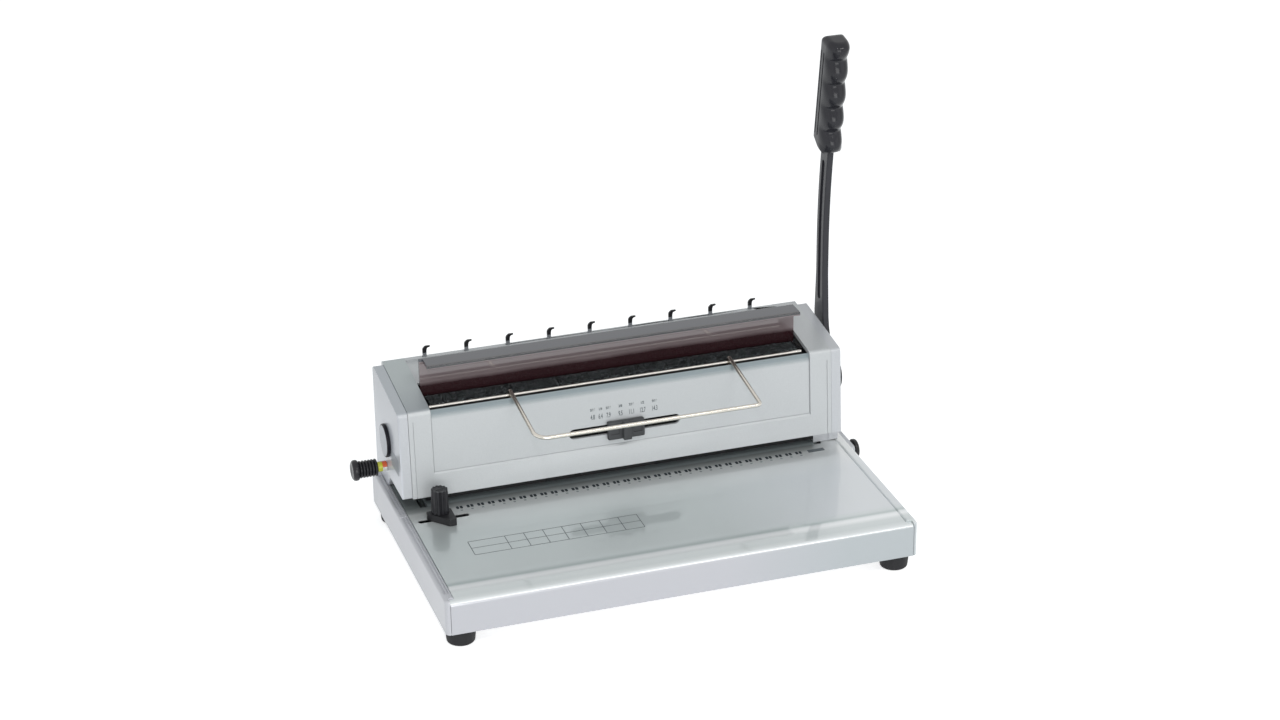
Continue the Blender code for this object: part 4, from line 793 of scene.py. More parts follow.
def leftCapShading(finish, paint):
    tones = towerTones
    x, y, z = finish.objectPlace()[1]
    # painted light and shade: the left cap's side paler at its foot and darker at its top
    side = finish.ramp((x - middleX + cap["side"]) / tones["capSideEdge"], *tones["capSideStops"])
    height = finish.ramp((z - tower["foot"]) / tones["capHeight"], *tones["capHeightStops"])
    paint = finish.mix(side, paint, finish.mix(height, *tones["capSide"]))
    # painted shade on the left cap's slope
    return finish.mix(slopeMask(finish, y, z, cap["topInset"]), paint, tones["capTop"])


housingPaint = paintedFinish("housingPaint", lacquer["housing"], shading=housingShading)
leftCapPaint = paintedFinish(
    "leftCapPaint", lacquer["caps"], rough=0.36, coat=0.25, shading=leftCapShading
)


def makeHousing():
    front, foot, wall = tower["front"], tower["foot"], tower["wall"]
    shoulder = front + tower["lean"]
    rear = tower["rear"]
    corners = [
        (front, foot, 0), (shoulder, tower["frontTop"], tower["frontRound"]),
        (rear, tower["rearTop"], tower["rearRound"]), (rear, tower["rearFoot"], 0),
        (rear - wall, tower["rearFoot"], 0), (rear - wall, tower["rearTop"] - wall, 0),
        (shoulder + wall, tower["frontTop"] - wall, 0), (front + wall, foot, 0),
    ]
    half = tower["half"]
    housing = outlined("tower_housing", rounded(corners), 2 * half, sideTurn, at(0, 0, 0))

    recess = tower["panelDepth"]
    low = faceLine(tower["panelFoot"])
    high = faceLine(tower["panelTop"]) + recess
    troughFront = tower["troughFront"]
    panel = [
        (low - past, tower["panelFoot"]), (low, tower["panelFoot"]),
        (low + recess, tower["panelFoot"] + recess), (high, tower["panelTop"]),
        (troughFront, tower["panelTop"] + troughFront - high),
        (troughFront, tower["frontTop"] + past), (low - past, tower["frontTop"] + past),
    ]
    panelHalf = tower["panelHalf"]
    panelTool = outlined("panel", panel, 2 * panelHalf, sideTurn, at(0, 0, 0))
    trough = addBlock(
        "trough", at(-panelHalf, tower["troughFront"] - tiny, tower["troughFloor"]),
        at(panelHalf, tower["troughRear"], tower["rearTop"] + past),
    )
    rearEdge = tower["deckRear"]
    depth = tower["deckDepth"]
    start = tower["troughRear"] - tiny
    deck = [
        (start, topLevel(start) - depth), (rearEdge, topLevel(rearEdge) - depth),
        (rearEdge, tower["rearTop"] + past), (start, tower["rearTop"] + past),
    ]
    deckTool = outlined("deck", deck, 2 * panelHalf, sideTurn, at(0, 0, 0))
    width, level, height = (selector[key] for key in ("slotHalf", "slotLevel", "slotHeight"))
    slot = rectangle(-width, level - height / 2, width, level + height / 2, height * 0.49)
    slotTool = outlined("slot", slot, 10 * past, frontTurn, at(0, faceLine(selector["level"]), 0))
    hookTools = [
        addBlock(
            "hookSlot",
            at(x - hook["half"] - seam, hook["rear"] - hook["thickness"] - seam, hook["slotLow"]),
            at(x + hook["half"] + seam, hook["rear"] + seam / 2, tower["rearTop"] + past),
        ) for x in hookPlaces()
    ]
    cutAway(housing, panelTool, trough, deckTool, slotTool, *hookTools)
    cutAway(housing, *panelLines())
    softenEdges(housing, tower["edge"], 2, 30)
    fit(housing, "machine", housingPaint, "painted_silver", "housing_cover", angle=30)


def panelLines():
    # thin grooves: beside and under the sunk panel, and one near each end of the front wall
    width, depth = tower["panelLine"]
    footWidth, footDepth = tower["footLine"]
    half, sunk = tower["panelHalf"], tower["panelDepth"]
    lines = []
    for side in (-1, 1):
        for place, bottom, top, inset in (
            (half - width / 2, tower["panelFoot"] + 0.001, tower["panelLineTop"], sunk),
            (tower["sideLine"], tower["foot"] - past, tower["sideLineTop"], 0),
        ):
            start, end = faceLine(bottom) + inset, faceLine(top) + inset
            corners = [
                (start - past, bottom), (start + depth, bottom), (end + depth, top), (end - past, top),
            ]
            lines.append(outlined("line", corners, width, sideTurn, at(side * place, 0, 0)))
    level = tower["panelFoot"] + sunk
    start = faceLine(level) + sunk
    lines.append(addBlock(
        "line", at(width - half, start - past, level),
        at(half - width, start + footDepth, level + footWidth),
    ))
    return lines


def makeEndCap(name, side):
    rear, floor = cap["rear"], tower["rearFoot"]
    front = tower["front"] + cap["frontInset"]
    top = topLevel(tower["front"] + tower["lean"]) - cap["topInset"]
    crest = [
        (front + tower["lean"], top, cap["frontRound"]),
        (rear, topLevel(rear) - cap["topInset"], cap["rearRound"]), (rear, floor, 0),
    ]
    if side < 0:
        foot = cap["leftFoot"]
        corners = [(front, foot, 0), *crest, (cap["throatEnd"], floor, 0), (cap["throatStart"], foot, 0)]
    else:
        foot, closed = cap["foot"], cap["closed"]
        corners = [(front, foot, 0), *crest, (closed, floor, 0), (closed, foot, 0)]
    inner, outer = side * cap["start"], side * cap["side"]
    width = cap["side"] - cap["start"]
    place = at((inner + outer) / 2, 0, 0)
    cover = outlined(name + "_cover", rounded(corners, 8), width, sideTurn, place)
    for x, edgeWidth, steps in ((outer, cap["edge"], 5), (inner, cap["innerEdge"], 2)):
        plane = middleX + x
        roundEdges(
            cover, lambda edge: all(abs(vert.co.x - plane) < tiny for vert in edge.verts),
            edgeWidth, steps,
        )
    inner, outer = inner - side * past, outer + side * past
    holes = [addRod("shaftHole", onShaft(inner), onShaft(outer), cap["shaftHole"])]
    if side < 0:
        holes.append(addRod("rodHole", onDepthRod(inner), onDepthRod(outer), cap["rodHole"]))
    cutAway(cover, *holes)
    if side > 0:
        joinOn(cover, *throatEnds())
    fit(cover, "machine", leftCapPaint if side < 0 else capPaint, "painted_silver", name)


def throatEnds():
    # the right cap's lip shuts the end of the throat in front of the side frame
    low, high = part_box("right_side_frame")
    foot, top = plateTop + seam, cap["foot"] - cap["lipGap"]
    front = low.y - cap["lip"] - seam
    reach = cap["lipReach"]
    return [
        addBlock(
            "lip", Vector((high.x + seam, front, foot)),
            Vector((middleX + cap["start"] + reach, frontY + cap["closed"] + reach, top)),
        ),
        addBlock(
            "lip", Vector((low.x - seam, front, foot)),
            Vector((high.x + 3 * seam, front + cap["lip"], top)),
        ),
    ]


patch = {
    "front": 0.1537,
    "rear": 0.1770,
    "low": 0.0680,
    "high": 0.0815,
    "thickness": 0.0002,
    "round": 0.0008,
}


def makePatch():
    # a plain grey label on the left cap
    corners = rectangle(*(patch[key] for key in ("front", "low", "rear", "high", "round")), 3)
    place = at(-cap["side"] - patch["thickness"] / 2, 0, 0)
    label = outlined("cap_patch", corners, patch["thickness"], sideTurn, place)
    fit(label, "machine", patchPaint, "painted_silver")


plug = {
    "radius": 0.0132,
    "rise": 0.0027,
    "crown": 0.0005,
    "round": 0.0009,
    "stem": 0.0020,
    "stemRadius": 0.0079,
    "disc": ((0.52, 0.54, 0.58), (0.60, 0.62, 0.66)),
    "rim": (0.010, 0.010, 0.015),
}


def makePlug():
    rise, corner = plug["rise"], plug["round"]
    flatRadius = plug["radius"] - corner
    profile = [(flatRadius * i / 10, rise + plug["crown"] * (1 - (i / 10) ** 2)) for i in range(11)]
    profile += [(flatRadius + corner * out, rise - corner + corner * up) for out, up in quarter(5, 1)]
    profile += [
        (plug["radius"], seam), (plug["radius"] - seam, 0), (plug["stemRadius"], 0),
        (plug["stemRadius"], -plug["stem"]), (0, -plug["stem"]),
    ]
    place = onShaft(-cap["side"] - seam)
    piece = turned("shaft_plug_cover", profile, place, (-1, 0, 0), 56)
    fit(piece, "machine", plugFinish(place), "gloss_black", "left_shaft_plug")


def plugFinish(place):
    # a cover, black round its rim and silver-grey across its face
    finish = Finish("plugFinish")
    spot, (_, y, z) = finish.objectPlace()
    out = finish.maths("SQRT", (y - place.y) * (y - place.y) + (z - place.z) * (z - place.z))
    rim = out.over(plug["radius"] - plug["round"] * 1.2)
    brushed = finish.grain(700, 2, spot=spot)
    shade = finish.mix(rim, finish.mix(brushed, *plug["disc"]), plug["rim"])
    finish.set(colour=shade, roughness=0.3 + brushed * 0.1, shine=0.15)
    return finish.bump(brushed, 0.04, 0.00004)


selector = {
    "level": 0.0830,
    "slotHalf": 0.0455,
    "slotLevel": 0.0834,
    "slotHeight": 0.0082,
    "half": 0.0150,
    "height": 0.0150,
    "depth": 0.0045,
    "round": 0.0012,
    "ridgeHalf": 0.0035,
    "ridgeDepth": 0.0035,
    "neckHalf": 0.0080,
    "dishStart": 0.0056,  # the shallow finger dishes beside the ridge
    "dishMargin": 0.0022,
    "dishDepth": 0.0007,
    "dishShares": (0.30, 0.72),
}
hook = {
    "pitch": 0.0084667,
    "holes": 34,
    "offset": 0.0024,
    "every": 4,  # a hook at every fourth hole
    "shift": 0.0011,
    "half": 0.0016,
    "thickness": 0.0015,
    "rear": 0.2295,
    "height": 0.0086,
    "reach": 0.0045,
    "tip": 0.0009,
    "stripHeight": 0.022,
    "stripEnds": 0.012,
    "slotLow": 0.1,
    "edge": 0.00018,
    "bright": 0.0030,  # the light grey, metallic foot of a hook shows this far above the rim
    # shares of the half width and of the rise, and a radius as a share of the half width
    "back": ((-1, 0, 0), (-1, 0.84, 1.7), (0.4, 1, 1)),
    "under": ((1.3, 0.87, 0.8), (1, 0.66, 1), (1, 0, 0)),
}


def holePlaces():
    start = hook["offset"] - hook["pitch"] * (hook["holes"] - 1) / 2
    return [start + hook["pitch"] * i for i in range(hook["holes"])]


def hookPlaces():
    return [x - hook["shift"] for x in holePlaces()[::hook["every"]]]


patchPaint = plasticFinish("patchPaint", (0.36, 0.38, 0.41), 0.42, 900, 0.1)
makeHousing()
makeEndCap("left_end_cap", -1)
makeEndCap("right_end_cap", 1)
makePatch()
makePlug()
print("tower ready")

# Wire closer: foam pad, front rod, smoked jaw, bail and hooks

closer = {
    "foamCell": 0.0011,
    "foamRise": 0.0018,
    "foamRest": 0.6,  # the flat top starts this share of the rise under the solid's
    "foamGrain": (900, 2300),
    "foamFine": 0.6,
    "foamRough": 0.42,
    "foamEdge": 0.0012,
    "rodLine": 0.1616,
    "rodLevel": 0.1192,
    "rodRadius": 0.0015,
    "rodLeft": -0.1530,
    "rodRight": 0.1512,
    "rodRound": 0.0005,
    "jawFront": 0.1715,
    "jawRear": 0.1890,
    "jawTop": 0.1485,
    "jawFoot": 0.1120,
    "jawThickness": 0.0030,
    "jawRounds": (0.25, 0.3, 0.4),  # shares of the thickness: nose, inner and outer corner
    "jawLeft": -0.1532,
    "jawRight": 0.1541,
    "jawTopInset": 0.0030,  # the top plate's left end stands in from the wall's
    "jawCorner": 0.0025,
    "jawEdge": 0.0004,
    "jawRim": 0.0028,
    # the painted light on the jaw's wall fades in between these heights
    "paintedLightLow": 0.1262,
    "paintedLightHigh": 0.1296,
}


def makeFoamPad():
    low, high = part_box("closer_pad")
    pad = addBlock("foam_pad", low, high - Vector((0, 0, closer["foamRise"] * closer["foamRest"])))
    for axis in (0, 1):
        cells = int((high[axis] - low[axis]) / closer["foamCell"])
        for i in range(1, cells):
            place = low.copy()
            place[axis] += (high[axis] - low[axis]) * i / cells
            normal = Vector((axis == 0, axis == 1, 0))
            addLine(pad, place, normal)
    pick(pad, "VERT", lambda vert: True)
    cage = bmesh.from_edit_mesh(pad.data)
    coarse, fine = closer["foamGrain"]
    for vert in cage.verts:
        if vert.co.z > low.z + tiny:
            rough = noise.noise(vert.co * coarse) + closer["foamFine"] * noise.noise(vert.co * fine)
            inner = min(vert.co.y - low.y, high.y - vert.co.y, closer["foamEdge"]) / closer["foamEdge"]
            vert.co.z += closer["foamRise"] * (0.5 * inner - 0.5 + closer["foamRough"] * rough)
    bmesh.update_edit_mesh(pad.data)
    takeUp(pad)
    fit(pad, "machine", foamFinish, "foam", "closer_pad", angle=20)


def makeFrontRod():
    line, level = closer["rodLine"], closer["rodLevel"]
    start, end = at(closer["rodLeft"], line, level), at(closer["rodRight"], line, level)
    rod = addRod("front_rod_bar", start, end, closer["rodRadius"], 24)
    roundEdges(rod, lambda edge: True, closer["rodRound"], 3)
    fit(rod, "machine", rodSteel, "rod_steel", "front_rod")


def makeJaw():
    front, rear, top = closer["jawFront"], closer["jawRear"], closer["jawTop"]
    sheet = closer["jawThickness"]
    under = top - sheet
    noseRound, innerRound, outerRound = (sheet * share for share in closer["jawRounds"])
    corners = [
        (front, top, noseRound), (front, under, noseRound), (rear - sheet, under, innerRound),
        (rear - sheet, closer["jawFoot"], 0), (rear, closer["jawFoot"], 0), (rear, top, outerRound),
    ]
    left, right = closer["jawLeft"], closer["jawRight"]
    middle = at((left + right) / 2, 0, 0)
    jaw = outlined("jaw_moulding", rounded(corners, 4), right - left, sideTurn, middle)
    corner = addBlock(
        "corner", at(left - past, front - past, under - past / 3),
        at(left + closer["jawTopInset"], rear - sheet, top + past),
    )
    cutAway(jaw, corner)
    newEnd = at(left + closer["jawTopInset"], 0, 0).x
    nose = at(0, front, 0).y
    roundEdges(
        jaw, lambda edge: runsAlong(edge, 2) and abs(centre(edge).x - newEnd) < tiny
        and abs(centre(edge).y - nose) < tiny, closer["jawCorner"], 6,
    )
    softenEdges(jaw, closer["jawEdge"], 2, 50)
    fit(jaw, "closer", smokedFinish, "smoked_jaw", "closer_jaw", angle=40)


bail = {
    "radius": 0.0016,
    "eyeGap": 0.0001,
    "left": 0.0880,
    "right": 0.0912,
    "front": 0.0906,
    "frontLevel": 0.1145,
    "leftCorner": 0.0105,
    "rightCorner": 0.0034,
    "eyeTurn": math.radians(290),
}


def makeBail():
    line, level = closer["rodLine"], closer["rodLevel"]
    eye = closer["rodRadius"] + bail["eyeGap"] + bail["radius"]
    run = line - bail["front"]
    drop = level - bail["frontLevel"]
    span = math.hypot(run, drop)
    lean = math.asin(eye / span) + math.atan2(drop, run)
    ahead = Vector((-math.cos(lean), -math.sin(lean)))
    across = Vector((-math.sin(lean), math.cos(lean)))
    hub = Vector((line, level))
    tangent = math.atan2(across.y, across.x)
    steps = 28
    ring = []
    for i in range(steps + 1):
        turn = tangent - bail["eyeTurn"] * (1 - i / steps)
        ring.append(hub + eye * Vector((math.cos(turn), math.sin(turn))))
    leg = math.sqrt(span * span - eye * eye)
    start = hub + across * eye
    points = []
    for side, half, corner in (
        (-1, bail["left"], bail["leftCorner"]), (1, bail["right"], bail["rightCorner"]),
    ):
        arm = [at(side * half, *spot) for spot in ring]
        for out, up in quarter(8):
            spot = start + ahead * (leg - corner + corner * out)
            arm.append(at(side * (half - corner * (1 - up)), *spot))
        points += arm if side < 0 else arm[::-1]
    piece = wire("bail_wire", points, bail["radius"], 4)
    fit(piece, "bail", wireSteel, "rod_steel", "wire_bail", angle=50)


def makeHooks():
    rear = hook["rear"]
    top = topLevel(rear) - tower["wall"] - seam
    crest = topLevel(rear) + hook["height"]
    half = hook["half"]
    rise = crest - top
    places = hookPlaces()
    left = places[0] - hook["stripEnds"]
    right = places[-1] + hook["stripEnds"]
    corners = [(left, top - hook["stripHeight"], 0), (left, top, 0)]
    for x in places:
        back, under = (
            [(x + half * across, top + rise * up, half * bend) for across, up, bend in hook[part]]
            for part in ("back", "under")
        )
        end = x + hook["reach"]
        corners += [*back, (end, crest, 0), (end, crest - hook["tip"], 0), *under]
    corners += [(right, top, 0), (right, top - hook["stripHeight"], 0)]
    place = at(0, rear - hook["thickness"] / 2, 0)
    strip = outlined("hook_comb", rounded(corners, 4), hook["thickness"], frontTurn, place)
    softenEdges(strip, hook["edge"], 1, 50)
    fit(strip, "machine", hookFinish(crest), "black_plastic", "hook_strip")


def hookFinish(crest):
    # black lacquer, with a light grey metallic part of each hook next to the rim
    finish = Finish("hookLacquer")
    spot, (_, _, z) = finish.objectPlace()
    worn = finish.grain(900, 3, spot=spot)
    upper = z.over(crest - hook["height"] + hook["bright"])
    paint = finish.mix(upper, (0.42, 0.43, 0.45), (0.014, 0.014, 0.016))
    finish.set(colour=paint, roughness=0.24 + worn * 0.16, metallic=0.85 - upper * 0.85)
    return finish.bump(worn, 0.08, 0.00004)


foam = Finish("foamFinish")
# painted highlight: pale specks in the black foam stand for glints on its cells
foamGlints = foam.grain(2100, 2, 0.7)
foamGlintMask = foam.ramp(foamGlints, (0.61, 0.0), (0.65, 1.0))
foam.set(colour=foam.mix(foamGlintMask, (0.003, 0.004, 0.005), (0.66, 0.74, 0.75)), roughness=0.5, shine=0.1)
foamFinish = foam.bump(foam.grain(1500, 3, 0.7), 0.8, 0.0006)


smokeAndLight = {
    "low": ((0.026, 0.009, 0.011), (0.036, 0.014, 0.017)),  # dark red
    "high": ((0.185, 0.145, 0.150), (0.215, 0.172, 0.178)),  # painted light: paler where the wall stands above the bed
    "rim": (0.012, 0.013, 0.018),
    # painted light: the top face gets a cooler tone than the wall
    "top": (0.030, 0.036, 0.052),
    "drift": 0.003,  # how far clouds move the edge between the two
}


def smokedPlastic():
    # dark red plastic with painted light: paler where the wall stands above the bed and cooler on the
    # top face, near black along the top plate's front
    finish = Finish("smokedPlastic")
    spot, (_, y, z) = finish.objectPlace()
    clouds = finish.grain(22, 3, spot=spot)
    height = z + (clouds - 0.5) * smokeAndLight["drift"] - closer["paintedLightLow"]
    paler = finish.ramp(height / (closer["paintedLightHigh"] - closer["paintedLightLow"]), (0, 0), (1, 1))
    shade = finish.mix(paler, finish.mix(clouds, *smokeAndLight["low"]), finish.mix(clouds, *smokeAndLight["high"]))
    top = z.over(closer["jawTop"] - closer["jawThickness"] * 0.6)
    inner = (y - frontY).over(closer["jawFront"] + closer["jawRim"])
    shade = finish.mix(top, shade, smokeAndLight["rim"])
    shade = finish.mix(top * inner, shade, smokeAndLight["top"])
    finish.set(colour=shade, roughness=0.05 + clouds * 0.03, ior=1.8)
    return finish.bump(clouds, 0.05, 0.0001)


smokedFinish = smokedPlastic()

makeFoamPad()
makeFrontRod()
makeJaw()
makeBail()
makeHooks()
print("closer ready")

# Size selector, its numbers and the scale on the plate

inkFinish = plasticFinish("ink", (0.030, 0.038, 0.044), 0.42, 1500, 0.05)
paleInkFinish = plasticFinish("paleInk", (0.27, 0.30, 0.31), 0.4, 1500, 0.05)
greyInkFinish = plasticFinish("greyInk", (0.115, 0.130, 0.140), 0.42, 1500, 0.05)
printing = {
    "thickness": 0.00006,
    "dotHalf": 0.0011,
    "dotOut": 0.0015,  # a mark is two dots, this far to each side of its hole
    "dotFront": 0.1387,
    "dotRear": 0.1430,
    "dotRound": 0.0008,
    "paleFront": 0.1350,
    "paleRear": 0.1368,
    "paleHalf": 0.0009,
    "paleOut": 0.0006,
    "barLeft": 0.1500,
    "barRight": 0.1638,
    "barFront": 0.1382,
    "barRear": 0.1430,
    "sizes": ("4.8", "6.4", "7.9", "9.5", "11.1", "12.7", "14.3"),
    "shares": ("3/16", "1/4", "5/16", "3/8", "7/16", "1/2", "9/16"),
    "columns": (-0.0258, -0.0194, -0.0129, -0.0031, 0.0059, 0.0149, 0.0248),
    "sizeLevel": 0.0951,
    "sizeLetter": (0.0056, 0.52),  # height and narrowing
    "shareLevel": 0.1013,
    "shareLetter": (0.0029, 0.80),
    "letterOffset": 0.00012,
    "chartLeft": -0.1460,
    "chartFirst": -0.1173,
    "chartRight": -0.0123,
    "chartRear": 0.0850,
    "chartFront": 0.0637,
    "chartColumns": 7,
    "chartLine": 0.00055,
}
inkLevel = plateTop + printing["thickness"] / 2


def joined(name, pieces):
    takeUp(pieces[0])
    for piece in pieces:
        piece.select_set(True)
    bpy.context.view_layer.objects.active = pieces[0]
    bpy.ops.object.join()
    pieces[0].name = name
    return pieces[0]


def printed(name, left, front, right, rear):
    # a flat patch of ink on the base plate
    corners = rectangle(left, front, right, rear)
    return outlined(name, corners, printing["thickness"], flat, at(0, 0, inkLevel))


def makeSlider():
    half, height, level = selector["half"], selector["height"], selector["level"]
    face = faceLine(level)
    back = face + tower["panelDepth"] - seam
    front = back - selector["depth"]
    low = level - height / 2
    slider = addBlock("selector_button", at(-half, front, low), at(half, back, low + height))
    softenEdges(slider, selector["round"], 3)
    bottom, top = (low + height * share for share in selector["dishShares"])
    dishes = [
        addBlock(
            "dish", at(side * selector["dishStart"], front - past, bottom),
            at(side * (half - selector["dishMargin"]), front + selector["dishDepth"], top),
        ) for side in (-1, 1)
    ]
    cutAway(slider, *dishes)
    ridgeHalf = selector["ridgeHalf"]
    ridge = addBlock(
        "ridge", at(-ridgeHalf, front - selector["ridgeDepth"], low - seam),
        at(ridgeHalf, back - seam, low + height - seam),
    )
    softenEdges(ridge, selector["round"], 3)
    neckHalf, neckRise = selector["neckHalf"], selector["slotHeight"] / 2 - 2 * seam
    neck = addBlock(
        "neck", at(-neckHalf, back - selector["depth"] / 2, level - neckRise),
        at(neckHalf, face + tower["wall"] + 4 * seam, level + neckRise),
    )
    joinOn(slider, ridge, neck)
    pivot = Matrix.Translation(at(0, face, level))
    slider.data.transform(pivot @ Matrix.Rotation(-frontLean, 4, "X") @ pivot.inverted())
    fit(slider, "selector", selectorPlastic, "black_plastic", "selector_slider")


def makeNumbers():
    pieces = []
    thickness = printing["thickness"]
    for labels, level, (height, narrowing) in (
        (printing["sizes"], printing["sizeLevel"], printing["sizeLetter"]),
        (printing["shares"], printing["shareLevel"], printing["shareLetter"]),
    ):
        for text, x in zip(labels, printing["columns"]):
            takeUp()
            bpy.ops.object.text_add()
            label = bpy.context.object
            label.data.body = text
            label.data.align_x = "CENTER"
            label.data.align_y = "CENTER"
            label.data.size = height
            label.data.extrude = thickness / 2
            label.data.offset = printing["letterOffset"]
            bpy.ops.object.convert(target="MESH")
            number = bpy.context.object
            spot = at(x, faceLine(level) + tower["panelDepth"] - thickness / 2, level)
            turn = Matrix.Rotation(-frontLean, 4, "X") @ frontTurn
            number.matrix_world = Matrix.Translation(spot) @ turn @ Matrix.Diagonal((narrowing, 1, 1, 1))
            pieces.append(setDown(number))
    fit(joined("size_numbers", pieces), "machine", greyInkFinish, "painted_silver")


def makePlateScale():
    # two dark dots and a pale dash at each hole, and a bar at the right end
    half, out, corner = printing["dotHalf"], printing["dotOut"], printing["dotRound"]
    front, rear = printing["dotFront"], printing["dotRear"]
    first = holePlaces()[0]
    corners = rectangle(-half - out, front, half - out, rear, corner, 4)
    mark = outlined("mark", corners, printing["thickness"], flat, at(first, 0, inkLevel))
    mark = joined("mark", [mark, copyOf(mark, "dot", (2 * out, 0, 0))])
    side, half = first + printing["paleOut"], printing["paleHalf"]
    shade = printed("shade", side - half, printing["paleFront"], side + half, printing["paleRear"])
    dark, pale = [mark], [shade]
    for i in range(1, hook["holes"]):
        dark.append(copyOf(mark, "mark", (hook["pitch"] * i, 0, 0)))
        pale.append(copyOf(shade, "shade", (hook["pitch"] * i, 0, 0)))
    sides = (printing[key] for key in ("barLeft", "barFront", "barRight", "barRear"))
    bar = printed("scale_bar", *sides)
    fit(joined("hole_scale", dark), "machine", inkFinish, "gloss_silver")
    fit(joined("hole_scale_shade", pale), "machine", paleInkFinish, "gloss_silver")
    fit(bar, "machine", greyInkFinish, "gloss_silver")


def makeChart():
    # an empty chart of thin lines with bare cells
    left, right = printing["chartLeft"], printing["chartRight"]
    front, rear = printing["chartFront"], printing["chartRear"]
    line = printing["chartLine"]
    pieces = [
        printed("line", left, y - line / 2, right, y + line / 2)
        for y in (front, (front + rear) / 2, rear)
    ]
    first = printing["chartFirst"]
    step = (right - first) / printing["chartColumns"]
    for x in (left, *(first + step * i for i in range(printing["chartColumns"] + 1))):
        pieces.append(printed("line", x - line / 2, front, x + line / 2, rear))
    fit(joined("bare_chart", pieces), "machine", greyInkFinish, "gloss_silver")


selectorPlastic = plasticFinish("selectorPlastic", (0.050, 0.052, 0.055), 0.4, 1300, 0.2)
makeSlider()
makeNumbers()
makePlateScale()
makeChart()
print("selector and scales ready")

# Edge guide on its slot

guide = {
    "axis": -0.15575,
    "left": -0.1660,
    "right": -0.1466,
    "front": 0.1128,
    "rear": 0.1316,
    "cut": (0.0138, 0.0155),
    "low": 0.0408,
    "high": 0.0464,
    "edge": 0.0006,
    "tongueHalf": 0.0070,
    "tongueWidth": 0.0026,
    "knobRadius": 0.0069,
    "knobTop": 0.0660,
    "knobTaper": 0.93,
    "flutes": 12,
    "fluteDepth": 0.0011,
    "fluteStart": 0.42,  # the share of each step round the knob that stays at full radius
    "dishMargin": 0.0022,
    "dishDepth": 0.0006,
    "knobSoft": 0.00045,
    "studRadius": 0.0013,
    "studLow": 0.0362,
}


def onGuide(z, x=0, y=0):
    return at(guide["axis"] + x, base["slotLine"] + y, z)


def makeGuideBlock():
    left, right, front, rear = (guide[key] for key in ("left", "right", "front", "rear"))
    low, high = guide["low"], guide["high"]
    across, back = guide["cut"]
    corners = [
        (left, rear, 0.001), (left, front + back, 0.001), (left + across, front, 0.001),
        (right, front, 0.001), (right, rear, 0.001),
    ]
    place = at(0, 0, (low + high) / 2)
    block = outlined("guide_block", rounded(corners, 3), high - low, flat, place)
    softenEdges(block, guide["edge"], 3, 50)
    long, wide = guide["tongueHalf"], guide["tongueWidth"] / 2
    tongue = addBlock(
        "tongue", onGuide(plateTop - base["sheet"] - seam, -long, -wide),
        onGuide(high - 3 * seam, long, wide),
    )
    joinOn(block, tongue)
    cutAway(block, addRod(
        "bore", onGuide(guide["studLow"] - past), onGuide(high + past), guide["studRadius"] + seam,
    ))
    fit(block, "edge_guide", blackPlastic, "black_plastic", "edge_guide_block")


def makeGuideKnob():
    low, high = guide["high"] + seam, guide["knobTop"]
    start = guide["fluteStart"]
    corners = []
    for i in range(guide["flutes"] * 8):
        share = i % 8 / 8
        groove = max(0, math.sin((share - start) / (1 - start) * math.pi)) if share > start else 0
        angle = math.tau * i / 8 / guide["flutes"]
        reach = guide["knobRadius"] - guide["fluteDepth"] * groove
        corners.append((reach * math.cos(angle), reach * math.sin(angle)))
    knob = outlined("guide_knob", corners, high - low, flat, onGuide((low + high) / 2))
    pick(knob, "VERT", lambda vert: vert.co.z > high - tiny)
    taper = guide["knobTaper"]
    bpy.ops.transform.resize(value=(taper, taper, 1), center_override=onGuide(high))
    takeUp(knob)
    pick(knob, "FACE", lambda face: face.normal.z > 0.99)
    bpy.ops.mesh.inset(thickness=guide["dishMargin"], use_even_offset=True)
    bpy.ops.transform.translate(value=(0, 0, -guide["dishDepth"]))
    takeUp(knob)
    softenEdges(knob, guide["knobSoft"], 2, 60)
    joinOn(knob, addRod("stud", onGuide(guide["studLow"]), onGuide(low + past), guide["studRadius"], 20))
    fit(knob, "edge_guide_knob", knobPlastic, "black_plastic", "edge_guide_knob", angle=40)


makeGuideBlock()
makeGuideKnob()
print("edge guide ready")

# Margin depth knob on the left

depth = {
    "dialStart": 0.1808,
    "dialEnd": 0.1882,
    "dialRadius": 0.0041,
    "bore": 0.0033,
    "knobStart": 0.1885,
    "knobEnd": 0.2031,
    "knobRadius": 0.0070,
    "ribs": 6,
    "ribDepth": 0.0014,
    "flangeEnd": 0.2086,
    "flangeRadius": 0.0083,
    # how far out, and share of the flange's width
    "flangeRim": ((-0.0010, 0.06), (-0.0002, 0.2), (0, 0.34), (0, 0.6), (-0.0004, 0.8)),
    "flangeFace": ((0.84, 0.0003), (0.76, 0), (0.55, 0.0005), (0, 0.0009)),  # share of radius, depth
    "boreDepth": 0.0084,
    "dialSoft": 0.0004,
    "dialGroove": (0.47, 0.5, 0.53),  # shares of length
    "patchRear": 0.001,  # where the dial's colours meet, from its axis
    "patchNearKnob": -0.003,
    "patchNearCap": 0.001,
    "lime": (0.60, 0.62, 0.03),
    "red": (0.75, 0.12, 0.03),
    "white": (0.78, 0.78, 0.74),
    "blue": (0.05, 0.14, 0.42),
    "worn": (0.3, 0.3, 0.28),
}


